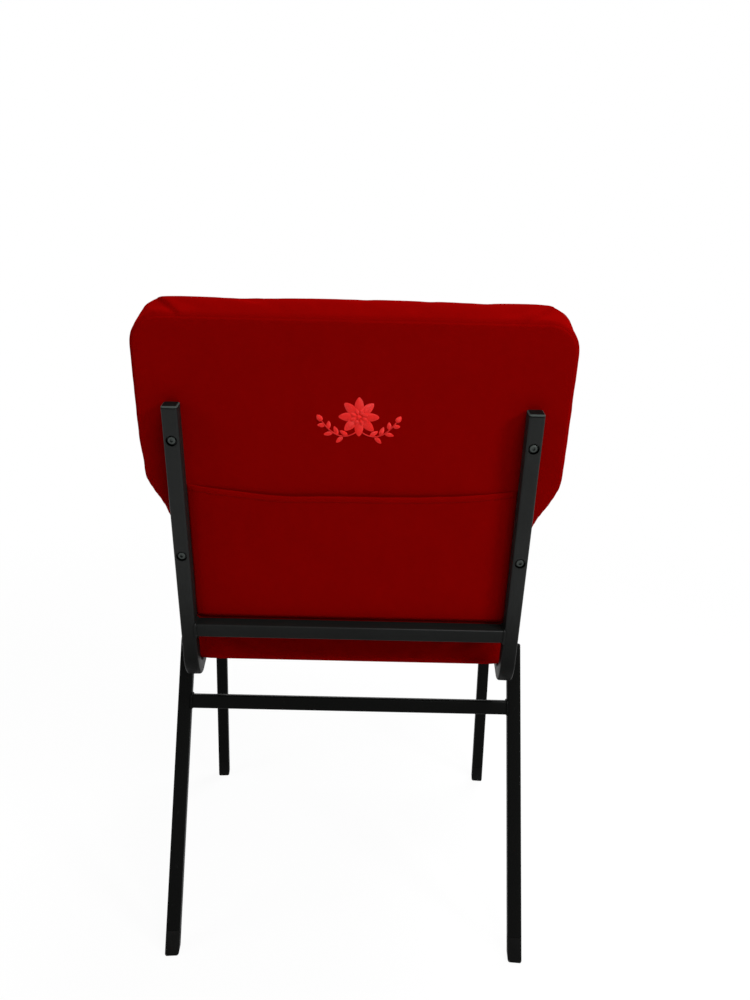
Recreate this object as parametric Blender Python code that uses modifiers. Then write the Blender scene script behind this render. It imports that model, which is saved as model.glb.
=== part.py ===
"""Stacking church chair: a bent-tube steel frame with an upholstered seat and back.

Metres, +Z up. The chair stands on the floor at z = 0, faces -Y and is symmetric about x = 0; +X is the
sitter's left. The upright and the seat rail of a side frame would cross at CROSSING; the back is laid
out in a plane that leans back from there, and the seat in a plane that rises forwards from there.
"""

import math

import bmesh
import bpy
from mathutils import Matrix, Vector

# Clearances
GAP = 0.0003            # between pieces that touch
PLUG_FIT = 0.0004       # between a plug's stem and the bore of its tube

# Square tube of the frame
TUBE = 0.019
WALL = 0.0015
TUBE_CORNER = 0.003
PLUG_CORNER = 0.00075   # least rounding of a plug that fits inside the tube
BEND_RADIUS = 0.042     # centre line

# Side frames and bars, to the tubes' centre lines
UPRIGHT_SPACING = 0.415
UPRIGHT_LENGTH = 0.3765
RECLINE = math.radians(11.6)
RAIL_HEIGHT = 0.385
RAIL_LENGTH = 0.373
FRONT_LEG_SPACING = 0.479
SEAT_PITCH = math.radians(2.5)
REAR_LEG_FORWARD = 0.096
REAR_LEG_RAKE = math.radians(21.4)
REAR_STRETCHER_HEIGHT = 0.314
FRONT_STRETCHER_HEIGHT = 0.324
CROSSBAR_RISE = 0.078   # above the crossing, along the uprights

# Foot ends and tube caps
FOOT_SKIRT = 0.030
FOOT_ROUND = 0.003
FOOT_STEM = 0.022
CAP_HEIGHT = 0.0035
CAP_ROUND = 0.0012
CAP_STEM = 0.016
STEM_CHAMFER = 0.001

# Back pad
WING_OVERHANG = 0.045   # beyond the uprights' centre lines, each side
BACK_BELOW_BAR = 0.004  # from the crossbar's centre line down to the bottom edge
BACK_ABOVE_UPRIGHT = 0.113
BACK_TOP_ROUND = 0.036
BACK_BOTTOM_ROUND = 0.022
WING_HEIGHT = 0.2315    # from the top down to the middle of the taper
WAIST_OVERHANG = 0.0145
TAPER_ANGLE = math.radians(30)
TAPER_ROUND = 0.080
BACK_PANEL = 0.0045
BACK_PANEL_ROUND = 0.0035
BACK_PANEL_INSET = 0.003
BACK_BOARD = 0.009
BACK_FOAM = 0.044
BACK_CROWN = 0.006
BACK_EDGE_ROUND = 0.015
BACK_DRAW_IN = 0.0025   # how far the cover's sides pull in at their open edge
BACK_TOP_FALL = 0.0115  # how much lower the top edge is at the uprights than at the front

# Seat
SEAT_SETBACK = 0.028    # from the crossing to the seat's rear edge
SEAT_DEPTH = 0.390
SEAT_REAR_OVERHANG = 0.0075   # beyond the uprights' centre lines, each side
SEAT_FRONT_OVERHANG = 0.004   # beyond the front legs' centre lines, each side
SEAT_REAR_ROUND = 0.026
SEAT_FRONT_ROUND = 0.055
SEAT_BOARD = 0.012
SEAT_FOAM = 0.033
SEAT_CROWN = 0.012
SEAT_EDGE_ROUND = 0.020
SEAT_DRAW_IN = 0.0015
DUST_COVER = 0.001
DUST_COVER_INSET = 0.012

COVER = 0.002           # cloth of both pads

# Book pouch on the rear of the back
POUCH_DROP = 0.101      # from the upright's top to the ends of the pouch's hem
POUCH_SAG = 0.0105
POUCH_CLOTH = 0.002
POUCH_BULGE = 0.003
POUCH_SIDE = 0.006      # clear of the uprights
POUCH_FOOT = 0.003      # clear of the crossbar

# Screws, sleeves and T-nuts
SCREW_SHANK = 0.006     # diameters
SCREW_HEAD = 0.0105
SCREW_HEAD_HEIGHT = 0.0036
SCREW_HEAD_RIM = 0.0014  # straight part of the head's height, under its dome
SCREW_HEAD_SINK = 0.0008
SCREW_SHORT = 0.0015    # the shank ends this far short of the board's face
UPPER_SCREW_DROP = 0.0384
BACK_SCREW_SPACING = 0.151
SLEEVE = 0.0126
NUT_BARREL = 0.0084
NUT_BARREL_LENGTH = 0.0075
NUT_FLANGE = 0.018
NUT_FLANGE_THICKNESS = 0.0012

# Seat tabs
TAB_WIDTH = 0.030
TAB_REACH = 0.034
TAB_THICKNESS = 0.003
TAB_ROUND = 0.008
TAB_HOLE_REACH = 0.020
REAR_TAB_FORWARD = 0.120
FRONT_TAB_FORWARD = 0.275

# Mesh steps
CORNER_STEPS = 2        # per corner of the tube's section
BEND_STEPS = 8
ARC_STEPS = 5           # per rounded corner of an outline
EDGE_STEPS = 3          # per rounded edge of a pad
LONGEST_RUN = 0.060     # between the rows of a pad
PAD_COLUMNS = 8
POUCH_COLUMNS = 12
POUCH_ROWS = 5
TURNED_STEPS = 12
HOLE_STEPS = 16
DOME_STEPS = 3          # from the middle of a screw's head to its rim
MERGE = 1e-6            # points this close are one
SHARP = math.radians(35)  # edges that turn further than this stay sharp

# Levels of the back's layers, forwards from the uprights' front faces
PANEL_FRONT = GAP + BACK_PANEL
BACK_BOARD_REAR = PANEL_FRONT + GAP
BACK_BOARD_FRONT = BACK_BOARD_REAR + BACK_BOARD
BACK_FOAM_REAR = BACK_BOARD_FRONT + GAP
BACK_FOAM_FRONT = BACK_FOAM_REAR + BACK_FOAM
BACK_COVER_FRONT = BACK_FOAM_FRONT + GAP + COVER

# Levels of the seat's layers, upwards from the rails' centre lines
DUST_COVER_BOTTOM = TUBE / 2 + GAP
SEAT_BOARD_BOTTOM = DUST_COVER_BOTTOM + DUST_COVER + GAP
SEAT_BOARD_TOP = SEAT_BOARD_BOTTOM + SEAT_BOARD
SEAT_FOAM_BOTTOM = SEAT_BOARD_TOP + GAP
SEAT_FOAM_TOP = SEAT_FOAM_BOTTOM + SEAT_FOAM
SEAT_COVER_TOP = SEAT_FOAM_TOP + GAP + COVER

# Where the upright and the rail cross: midway between the seat's front and the back's rear
BACK_TOP = UPRIGHT_LENGTH + BACK_ABOVE_UPRIGHT
BACK_MIDDLE = BACK_TOP - WING_HEIGHT   # middle of the taper
BACK_REACH = (BACK_TOP - BACK_TOP_FALL) * math.sin(RECLINE) - (TUBE / 2 + GAP) * math.cos(RECLINE)
SEAT_REACH = (SEAT_SETBACK + SEAT_DEPTH) * math.cos(SEAT_PITCH)
CROSSING = Vector((0, (SEAT_REACH - BACK_REACH) / 2, RAIL_HEIGHT))

ACROSS = Vector((1, 0, 0))
UP_UPRIGHT = Vector((0, math.sin(RECLINE), math.cos(RECLINE)))
ALONG_SEAT = Vector((0, -math.cos(SEAT_PITCH), math.sin(SEAT_PITCH)))
DOWN_REAR_LEG = Vector((0, math.sin(REAR_LEG_RAKE), -math.cos(REAR_LEG_RAKE)))
SIDES = (("left", 1), ("right", -1))


# Scene

def clear_scene():
    for obj in list(bpy.data.objects):
        bpy.data.objects.remove(obj)


def new_collection(name):
    collection = bpy.data.collections.new(name)
    bpy.context.scene.collection.children.link(collection)
    return collection


def new_material(name, colour, roughness, metallic=0.0):
    material = bpy.data.materials.new(name)
    material.use_nodes = True
    shader = material.node_tree.nodes["Principled BSDF"]
    shader.inputs["Base Color"].default_value = (*colour, 1)
    shader.inputs["Roughness"].default_value = roughness
    shader.inputs["Metallic"].default_value = metallic
    return material


def new_plane(name, tilt):
    """An empty at the crossing, turned about X, that carries the pieces laid out in its plane."""
    plane = bpy.data.objects.new(name, None)
    plane.location = CROSSING
    plane.rotation_euler.x = tilt
    chair.objects.link(plane)
    return plane


def add_object(name, mesh, material, plane=None, collection=None):
    obj = bpy.data.objects.new(name, mesh)
    if material:
        mesh.materials.append(material)
    obj.parent = plane
    (collection or chair).objects.link(obj)
    return obj


def finished(bm, smooth=False):
    """The bmesh as a mesh, its faces turned outwards."""
    bmesh.ops.recalc_face_normals(bm, faces=bm.faces)
    mesh = bpy.data.meshes.new("mesh")
    bm.to_mesh(mesh)
    bm.free()
    if smooth:
        mesh.shade_smooth()
        mesh.set_sharp_from_angle(angle=SHARP)
    return mesh


# Tubes and their plugs

def rounded_square(half, radius):
    points = []
    for quarter, (right, upper) in enumerate(((1, 1), (-1, 1), (-1, -1), (1, -1))):
        centre = Vector((right, upper, 0)) * (half - radius)
        for step in range(CORNER_STEPS + 1):
            angle = (quarter + step / CORNER_STEPS) * math.pi / 2
            points.append(centre + Vector((math.cos(angle), math.sin(angle), 0)) * radius)
    return points


def frame_at(origin, along, across):
    """A frame whose z axis runs along the tube and whose x axis lies nearest to across."""
    along = along.normalized()
    across = (across - across.dot(along) * along).normalized()
    frame = Matrix((across, along.cross(across), along)).transposed().to_4x4()
    frame.translation = origin
    return frame


def slid_onto(ring, along, point, normal):
    """The ring's points, moved along the tube onto a plane."""
    return [p + along * ((point - p).dot(normal) / along.dot(normal)) for p in ring]


def skin(bm, rings):
    """Extrudes the first ring of points through the others; gives the edges of the first and the last."""
    place_of = bm.verts.layers.int.new("place")
    verts = [bm.verts.new(point) for point in rings[0]]
    for place, vert in enumerate(verts):
        vert[place_of] = place
    first = edges = [bm.edges.new((verts[i - 1], verts[i])) for i in range(len(verts))]
    for ring in rings[1:]:
        grown = bmesh.ops.extrude_edge_only(bm, edges=edges)["geom"]
        edges = [item for item in grown if isinstance(item, bmesh.types.BMEdge)]
        for vert in (item for item in grown if isinstance(item, bmesh.types.BMVert)):
            vert.co = ring[vert[place_of]]
    return first, edges


def tube_mesh(frames, start_cut=None, end_cut=None):
    """A hollow tube through the frames. A cut is the point and normal of the plane that ends it."""
    walls = []
    for inset in (0, WALL):
        section = rounded_square(TUBE / 2 - inset, TUBE_CORNER - inset)
        rings = [[frame @ point for point in section] for frame in frames]
        if start_cut:
            rings[0] = slid_onto(rings[0], frames[0].col[2].to_3d(), *start_cut)
        if end_cut:
            rings[-1] = slid_onto(rings[-1], frames[-1].col[2].to_3d(), *end_cut)
        walls.append(rings)
    outer, inner = walls
    bm = bmesh.new()
    skin(bm, outer + inner[::-1] + outer[:1])
    bmesh.ops.remove_doubles(bm, verts=bm.verts, dist=MERGE)
    return finished(bm, smooth=True)


def bent_frames(corners, acrosses):
    """Frames along the straight runs between the corners and round the bends that join them."""
    frames = [frame_at(corners[0], corners[1] - corners[0], acrosses[0])]
    for k in range(1, len(corners) - 1):
        before = (corners[k] - corners[k - 1]).normalized()
        after = (corners[k + 1] - corners[k]).normalized()
        inward = (after - before * before.dot(after)).normalized()
        turn = before.angle(after)
        start = corners[k] - before * BEND_RADIUS * math.tan(turn / 2)
        centre = start + inward * BEND_RADIUS
        for step in range(BEND_STEPS + 1):
            angle = turn * step / BEND_STEPS
            out = before * math.sin(angle) - inward * math.cos(angle)
            along = before * math.cos(angle) + inward * math.sin(angle)
            across = acrosses[k - 1].lerp(acrosses[k], step / BEND_STEPS)
            frames.append(frame_at(centre + out * BEND_RADIUS, along, across))
    frames.append(frame_at(corners[-1], corners[-1] - corners[-2], acrosses[-1]))
    return frames


def plug_ring(frame, inset, distance):
    """A ring of a plug, this far in from the tube's outside and out from its end."""
    section = rounded_square(TUBE / 2 - inset, max(TUBE_CORNER - inset, PLUG_CORNER))
    return [frame @ (point + Vector((0, 0, distance))) for point in section]


def stem_rings(frame, length):
    bore = WALL + PLUG_FIT
    return [
        plug_ring(frame, bore + STEM_CHAMFER, -length),
        plug_ring(frame, bore, STEM_CHAMFER - length),
        plug_ring(frame, bore, GAP),
        plug_ring(frame, 0, GAP),
    ]


def plug_mesh(rings):
    bm = bmesh.new()
    for edges in skin(bm, rings):
        bmesh.ops.contextual_create(bm, geom=edges)
    return finished(bm)


def cap_mesh(frame):
    rings = stem_rings(frame, CAP_STEM)
    rings.append(plug_ring(frame, 0, CAP_HEIGHT - CAP_ROUND))
    rings.append(plug_ring(frame, CAP_ROUND, CAP_HEIGHT))
    return plug_mesh(rings)


def foot_mesh(frame):
    """A foot end whose underside is flat on the floor, however its leg leans."""
    rings = stem_rings(frame, FOOT_STEM)
    along = frame.col[2].to_3d()
    for inset, height in ((0, FOOT_ROUND), (FOOT_ROUND, 0)):
        level = Vector((0, 0, height))
        rings.append(slid_onto(plug_ring(frame, inset, 0), along, level, Vector((0, 0, 1))))
    return plug_mesh(rings)


# Outlines, pads and plates

def rounded_outline(corners, radii):
    """Points and outward normals of half an outline: from its first rounded corner to its last."""
    outline = []
    for k, radius in enumerate(radii, start=1):
        before = (corners[k] - corners[k - 1]).normalized()
        after = (corners[k + 1] - corners[k]).normalized()
        turn = math.atan2(before.x * after.y - before.y * after.x, before.dot(after))
        room = min((corners[k] - corners[k - 1]).length, (corners[k + 1] - corners[k]).length) / 2
        radius = min(radius, room / math.tan(abs(turn) / 2))
        bulge = math.copysign(radius, turn)
        start = corners[k] - before * radius * math.tan(abs(turn) / 2)
        centre = start + Vector((-before.y, before.x)) * bulge
        if outline:
            last, outward = outline[-1][0], Vector((before.y, -before.x))
            runs = math.ceil((start - last).length / LONGEST_RUN)
            outline += [(last.lerp(start, run / runs), outward) for run in range(1, runs)]
        for step in range(ARC_STEPS + 1):
            angle = turn * step / ARC_STEPS
            along = Matrix.Rotation(angle, 2) @ before
            outward = Vector((along.y, -along.x))
            outline.append((centre + outward * bulge, outward))
    return outline


def inset_outline(outline, inset):
    return [point - outward * inset for point, outward in outline]


def edge_rings(top, bottom, radius, inset, draw_in):
    """Insets and levels down a pad's rounded edge and side, from its face to its open edge."""
    rings = []
    for step in range(EDGE_STEPS + 1):
        angle = step / EDGE_STEPS * math.pi / 2
        rings.append((inset + radius * (1 - math.sin(angle)), top - radius * (1 - math.cos(angle))))
    rings.append((inset + draw_in, bottom))
    return rings


def pad_mesh(outline, rings, crown, place, closed):
    """A crowned face over the outline, with its edge and side turned down through the rings."""
    bm = bmesh.new()
    last_row = len(outline) - 1
    bmesh.ops.create_grid(bm, x_segments=PAD_COLUMNS, y_segments=last_row, size=1)
    row_of = bm.verts.layers.int.new("row")
    share_of = bm.verts.layers.float.new("share")
    for vert in bm.verts:
        vert[row_of] = round((vert.co.y + 1) / 2 * last_row)
        vert[share_of] = vert.co.x
    face_rows = inset_outline(outline, rings[0][0])
    low, high = face_rows[0].y, face_rows[-1].y
    for vert in bm.verts:
        point, share = face_rows[vert[row_of]], vert[share_of]
        height = 2 * (point.y - low) / (high - low) - 1
        rise = crown * (1 - share ** 2) * (1 - height ** 2)
        vert.co = place(share * point.x, point.y, rings[0][1] + rise)
    for inset, level in rings[1:]:
        rim = [edge for edge in bm.edges if edge.is_boundary]
        grown = bmesh.ops.extrude_edge_only(bm, edges=rim)["geom"]
        rows = inset_outline(outline, inset)
        for vert in (item for item in grown if isinstance(item, bmesh.types.BMVert)):
            point = rows[vert[row_of]]
            vert.co = place(vert[share_of] * point.x, point.y, level)
    if closed:
        bmesh.ops.edgeloop_fill(bm, edges=[edge for edge in bm.edges if edge.is_boundary])
    bmesh.ops.recalc_face_normals(bm, faces=bm.faces)
    bm.normal_update()
    bm.faces.ensure_lookup_table()
    if bm.faces[0].normal.dot(place(0, 0, 1) - place(0, 0, 0)) < 0:
        bmesh.ops.reverse_faces(bm, faces=bm.faces)
    mesh = bpy.data.meshes.new("pad")
    bm.to_mesh(mesh)
    bm.free()
    mesh.shade_smooth()
    return mesh


def thickened(obj, thickness):
    """Makes an open surface a shell, inwards from its faces."""
    shell = obj.modifiers.new("thickness", "SOLIDIFY")
    shell.thickness = thickness
    shell.offset = -1
    shell.use_even_offset = True
    return obj


def circle_points(centre, radius):
    turns = [2 * math.pi * step / HOLE_STEPS for step in range(HOLE_STEPS)]
    return [centre + Vector((math.cos(turn), math.sin(turn))) * radius for turn in turns]


def plate(name, loops, thickness, material, plane):
    """A flat plate of this thickness about its own XY plane; the loops after the first are its holes."""
    curve = bpy.data.curves.new(name, "CURVE")
    curve.dimensions = "2D"
    curve.fill_mode = "BOTH"
    curve.extrude = thickness / 2
    for loop in loops:
        spline = curve.splines.new("POLY")
        spline.points.add(len(loop) - 1)
        for slot, point in zip(spline.points, loop):
            slot.co = (point.x, point.y, 0, 1)
        spline.use_cyclic_u = True
    guide = bpy.data.objects.new(name, curve)
    chair.objects.link(guide)
    graph = bpy.context.evaluated_depsgraph_get()
    mesh = bpy.data.meshes.new_from_object(guide.evaluated_get(graph))
    bpy.data.objects.remove(guide)
    bm = bmesh.new()
    bm.from_mesh(mesh)
    bmesh.ops.remove_doubles(bm, verts=bm.verts, dist=MERGE)
    mesh.materials.clear()
    bm.to_mesh(mesh)
    bm.free()
    return add_object(name, mesh, material, plane)


def whole_loop(half):
    """Both halves of an outline that is symmetric about x = 0."""
    return half + [Vector((-point.x, point.y)) for point in reversed(half)]


# Turned pieces and cuts

def turned(name, profile, material, plane, hollow=False):
    """A profile of (radius, height), down its outer side, turned about Z."""
    mesh = bpy.data.meshes.new(name)
    edges = [(i, i + 1) for i in range(len(profile) - 1)]
    if hollow:
        edges.append((len(profile) - 1, 0))
    mesh.from_pydata([(radius, 0, height) for radius, height in profile], edges, [])
    obj = add_object(name, mesh, material, plane)
    screw = obj.modifiers.new("turn", "SCREW")
    screw.steps = TURNED_STEPS
    screw.render_steps = TURNED_STEPS
    screw.use_merge_vertices = True
    screw.merge_threshold = MERGE
    screw.use_smooth_shade = False
    return obj


def screw_profile(length):
    head, shank = SCREW_HEAD / 2, SCREW_SHANK / 2
    angles = [math.pi / 2 * step / DOME_STEPS for step in range(DOME_STEPS + 1)]
    rise = SCREW_HEAD_HEIGHT - SCREW_HEAD_RIM
    dome = [(head * math.sin(angle), SCREW_HEAD_RIM + rise * math.cos(angle)) for angle in angles]
    return dome + [(head, 0), (shank, 0), (shank, STEM_CHAMFER - length),
                   (shank - STEM_CHAMFER, -length), (0, -length)]


def nut_profile():
    flange, barrel, bore = NUT_FLANGE / 2, NUT_BARREL / 2, SCREW_SHANK / 2 + GAP
    return [(flange, 0), (flange, -NUT_FLANGE_THICKNESS), (barrel, -NUT_FLANGE_THICKNESS),
            (barrel, -NUT_BARREL_LENGTH), (bore, -NUT_BARREL_LENGTH), (bore, 0)]


def cut_round(obj, radius, start, end, plane):
    """Cuts a round hole between two points of the plane's space."""
    axis = end - start
    mesh = bpy.data.meshes.new("hole")
    bm = bmesh.new()
    bmesh.ops.create_cone(bm, cap_ends=True, segments=HOLE_STEPS, radius1=radius, radius2=radius,
                          depth=axis.length)
    bm.to_mesh(mesh)
    bm.free()
    cutter = add_object(f"cut_{obj.name}", mesh, None, plane, cutters)
    cutter.location = (start + end) / 2
    cutter.rotation_euler = axis.to_track_quat("Z", "Y").to_euler()
    cutter.hide_render = True
    cutter.display_type = "WIRE"
    cut = obj.modifiers.new("hole", "BOOLEAN")
    cut.operation = "DIFFERENCE"
    cut.object = cutter


# Frame

def crossing_of(side):
    return CROSSING + ACROSS * side * UPRIGHT_SPACING / 2


def rail_point(side, forward):
    """A point of the rail's centre line, this far along the seat."""
    spread = (FRONT_LEG_SPACING - UPRIGHT_SPACING) / 2 * forward / RAIL_LENGTH
    return crossing_of(side) + ACROSS * side * spread + ALONG_SEAT * forward


def rail_outward(side):
    """The level direction square to the rail, away from the seat."""
    run = rail_point(side, RAIL_LENGTH) - crossing_of(side)
    return Vector((-run.y, run.x, 0)).normalized() * side


def build_side_frame(name, side):
    top = crossing_of(side) + UP_UPRIGHT * UPRIGHT_LENGTH
    front = rail_point(side, RAIL_LENGTH)
    end = Vector((front.x, front.y, FOOT_SKIRT))
    outward = rail_outward(side)
    frames = bent_frames([top, crossing_of(side), front, end], [ACROSS * side, outward, outward])
    obj = add_object(f"side_frame_{name}", tube_mesh(frames), paint)
    for height in back_screw_heights():
        centre = Vector((side * UPRIGHT_SPACING / 2, 0, height))
        rear = Vector((0, TUBE, 0))
        cut_round(obj, SLEEVE / 2 + PLUG_FIT, centre, centre + rear, back_plane)
        cut_round(obj, SCREW_SHANK / 2 + PLUG_FIT, centre, centre - rear, back_plane)
    cap_frame = frame_at(top, UP_UPRIGHT, ACROSS * side)
    add_object(f"upright_cap_{name}", cap_mesh(cap_frame), plastic)
    foot_frame = frame_at(end, Vector((0, 0, -1)), outward)
    add_object(f"front_foot_{name}", foot_mesh(foot_frame), plastic)


def rear_leg_frame(side, height):
    """The frame of a rear leg, running down it, where its centre line is at this height."""
    outward = rail_outward(side)
    level = rail_point(side, REAR_LEG_FORWARD)
    leg = frame_at(level, DOWN_REAR_LEG, outward)
    reach = sum(abs(leg.col[k].to_3d().dot(outward)) for k in (0, 1)) * TUBE / 2
    drift = abs(outward.y) * math.tan(REAR_LEG_RAKE) * TUBE / 2
    leg.translation = level + outward * (TUBE / 2 + GAP + reach + drift)
    leg.translation += DOWN_REAR_LEG * (leg.translation.z - height) / math.cos(REAR_LEG_RAKE)
    return leg


def build_rear_leg(name, side):
    rail_top = rail_point(side, REAR_LEG_FORWARD).z + TUBE / 2
    top = rear_leg_frame(side, rail_top - TUBE / 2 * math.sin(REAR_LEG_RAKE))
    end = rear_leg_frame(side, FOOT_SKIRT * math.cos(REAR_LEG_RAKE))
    add_object(f"rear_leg_{name}", tube_mesh([top, end]), paint)
    cap_frame = frame_at(top.translation, -DOWN_REAR_LEG, top.col[0].to_3d())
    add_object(f"rear_leg_cap_{name}", cap_mesh(cap_frame), plastic)
    add_object(f"rear_foot_{name}", foot_mesh(end), plastic)


def build_bar(name, centres, outwards, across):
    """A tube from the right to the left, cut to lie against the inner faces of two tubes."""
    ends = [centre - outward * (TUBE / 2 + GAP) for centre, outward in zip(centres, outwards)]
    left, right = [frame_at(centre, ACROSS, across) for centre in centres]
    mesh = tube_mesh([right, left], (ends[1], outwards[1]), (ends[0], outwards[0]))
    add_object(name, mesh, paint)


def build_bars():
    sides = [side for _, side in SIDES]
    crossbar = [crossing_of(side) + UP_UPRIGHT * CROSSBAR_RISE for side in sides]
    build_bar("back_crossbar", crossbar, [ACROSS * side for side in sides], UP_UPRIGHT)
    legs = [rear_leg_frame(side, REAR_STRETCHER_HEIGHT) for side in sides]
    build_bar("rear_stretcher", [leg.translation for leg in legs],
              [leg.col[0].to_3d() for leg in legs], DOWN_REAR_LEG)
    fronts = [rail_point(side, RAIL_LENGTH) for side in sides]
    levels = [Vector((front.x, front.y, FRONT_STRETCHER_HEIGHT)) for front in fronts]
    build_bar("front_stretcher", levels, [rail_outward(side) for side in sides], Vector((0, 0, 1)))


# Back

def back_screw_heights():
    upper = UPRIGHT_LENGTH - UPPER_SCREW_DROP
    return upper, upper - BACK_SCREW_SPACING


def back_screw_places():
    for name, side in SIDES:
        for level, height in zip(("upper", "lower"), back_screw_heights()):
            yield f"{level}_{name}", Vector((side * UPRIGHT_SPACING / 2, 0, height))


def back_level(level):
    """The plane's y of a layer's level, forwards from the uprights' front faces."""
    return -TUBE / 2 - level


def fallen(height, level):
    """The height of a point of the back, whose top slopes down towards the uprights."""
    share = max(height - BACK_MIDDLE, 0) / WING_HEIGHT
    return height - BACK_TOP_FALL * share * (1 - level / BACK_COVER_FRONT)


def back_forwards(across, height, level):
    return Vector((across, back_level(level), fallen(height, level)))


def back_rearwards(across, height, level):
    return back_forwards(across, height, -level)


def back_outline():
    wing = UPRIGHT_SPACING / 2 + WING_OVERHANG
    waist = UPRIGHT_SPACING / 2 + WAIST_OVERHANG
    bottom = CROSSBAR_RISE - BACK_BELOW_BAR
    taper = (wing - waist) / 2 / math.tan(TAPER_ANGLE)
    corners = [(0, bottom), (waist, bottom), (waist, BACK_MIDDLE - taper), (wing, BACK_MIDDLE + taper),
               (wing, BACK_TOP), (0, BACK_TOP)]
    radii = [BACK_BOTTOM_ROUND, TAPER_ROUND, TAPER_ROUND, BACK_TOP_ROUND]
    return rounded_outline([Vector(corner) for corner in corners], radii)


def build_back():
    outline = back_outline()
    inner = COVER + GAP
    lie_upright = math.pi / 2

    rings = edge_rings(BACK_COVER_FRONT, BACK_BOARD_REAR, BACK_EDGE_ROUND, 0, BACK_DRAW_IN)
    mesh = pad_mesh(outline, rings, BACK_CROWN, back_forwards, closed=False)
    thickened(add_object("back_cover", mesh, fabric, back_plane), COVER)

    rings = edge_rings(BACK_FOAM_FRONT, BACK_FOAM_REAR, BACK_EDGE_ROUND - inner, inner, BACK_DRAW_IN)
    mesh = pad_mesh(outline, rings, BACK_CROWN, back_forwards, closed=True)
    add_object("back_foam", mesh, foam, back_plane)

    rings = edge_rings(-GAP, -PANEL_FRONT, BACK_PANEL_ROUND, BACK_PANEL_INSET, BACK_DRAW_IN / 2)
    mesh = pad_mesh(outline, rings, 0, back_rearwards, closed=True)
    panel = add_object("back_rear_panel", mesh, fabric, back_plane)

    rim = inset_outline(outline, inner + BACK_DRAW_IN)
    loop = whole_loop([Vector((point.x, fallen(point.y, BACK_BOARD_REAR))) for point in rim])
    board = plate("back_board", [loop], BACK_BOARD, plywood, back_plane)
    board.location.y = back_level((BACK_BOARD_REAR + BACK_BOARD_FRONT) / 2)
    board.rotation_euler.x = lie_upright

    head_rest = TUBE / 2 - SCREW_HEAD_SINK - SCREW_HEAD_HEIGHT
    shank = head_rest - back_level(BACK_BOARD_FRONT - SCREW_SHORT)
    sleeve_front = -TUBE / 2 + WALL + GAP
    for name, place in back_screw_places():
        screw = turned(f"back_screw_{name}", screw_profile(shank), blackened, back_plane)
        screw.location = place + Vector((0, head_rest, 0))
        screw.rotation_euler.x = -lie_upright

        outer, bore = SLEEVE / 2, SCREW_SHANK / 2 + GAP
        top, bottom = head_rest - GAP, sleeve_front
        profile = [(outer, top), (outer, bottom), (bore, bottom), (bore, top)]
        sleeve = turned(f"crush_sleeve_{name}", profile, zinc, back_plane, hollow=True)
        sleeve.location = place
        sleeve.rotation_euler.x = -lie_upright

        nut = turned(f"back_t_nut_{name}", nut_profile(), zinc, back_plane, hollow=True)
        nut.location = place + Vector((0, back_level(BACK_BOARD_FRONT), 0))
        nut.rotation_euler.x = lie_upright

        far = place + Vector((0, back_level(BACK_COVER_FRONT), 0))
        cut_round(panel, SCREW_SHANK / 2 + PLUG_FIT, place, far, back_plane)
        cut_round(board, NUT_BARREL / 2 + GAP, place, far, back_plane)
        seat = place + Vector((0, back_level(BACK_BOARD_FRONT - NUT_FLANGE_THICKNESS - GAP), 0))
        cut_round(board, NUT_FLANGE / 2 + GAP, seat, far, back_plane)


def build_pouch():
    half = (UPRIGHT_SPACING - TUBE) / 2 - POUCH_SIDE
    foot = CROSSBAR_RISE + TUBE / 2 + POUCH_FOOT
    hem = UPRIGHT_LENGTH - POUCH_DROP
    bm = bmesh.new()
    bmesh.ops.create_grid(bm, x_segments=POUCH_COLUMNS, y_segments=POUCH_ROWS, size=1)
    for vert in bm.verts:
        across, up = vert.co.x, (vert.co.y + 1) / 2
        slack = 1 - across ** 2
        height = foot + up * (hem - POUCH_SAG * slack - foot)
        vert.co = back_rearwards(across * half, height, POUCH_CLOTH + POUCH_BULGE * slack * up ** 2)
    bm.normal_update()
    if sum(face.normal.y for face in bm.faces) < 0:
        bmesh.ops.reverse_faces(bm, faces=bm.faces)
    mesh = bpy.data.meshes.new("pouch")
    bm.to_mesh(mesh)
    bm.free()
    thickened(add_object("book_pouch", mesh, fabric, back_plane), POUCH_CLOTH)


# Seat

def seat_upwards(across, forward, level):
    return Vector((across, -forward, level))


def seat_outline():
    rear, front = SEAT_SETBACK, SEAT_SETBACK + SEAT_DEPTH
    rear_half = UPRIGHT_SPACING / 2 + SEAT_REAR_OVERHANG
    front_half = FRONT_LEG_SPACING / 2 + SEAT_FRONT_OVERHANG
    corners = [(0, rear), (rear_half, rear), (front_half, front), (0, front)]
    return rounded_outline([Vector(corner) for corner in corners], [SEAT_REAR_ROUND, SEAT_FRONT_ROUND])


def tab_places():
    """Name, side and seat-plane point of the rail's centre line at each tab."""
    for row, forward in (("rear", REAR_TAB_FORWARD), ("front", FRONT_TAB_FORWARD)):
        for name, side in SIDES:
            spread = rail_point(side, forward).x
            yield f"{row}_{name}", side, Vector((spread, -forward, 0))


def tab_turn(side):
    """How far a tab is turned about the seat's normal so that its x axis runs in from the rail."""
    inward = -rail_outward(side)
    return math.atan2(inward.y, inward.x)


def tab_hole(side, place):
    reach = TUBE / 2 + GAP + TAB_HOLE_REACH
    return place + Matrix.Rotation(tab_turn(side), 3, "Z") @ Vector((reach, 0, 0))


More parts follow.
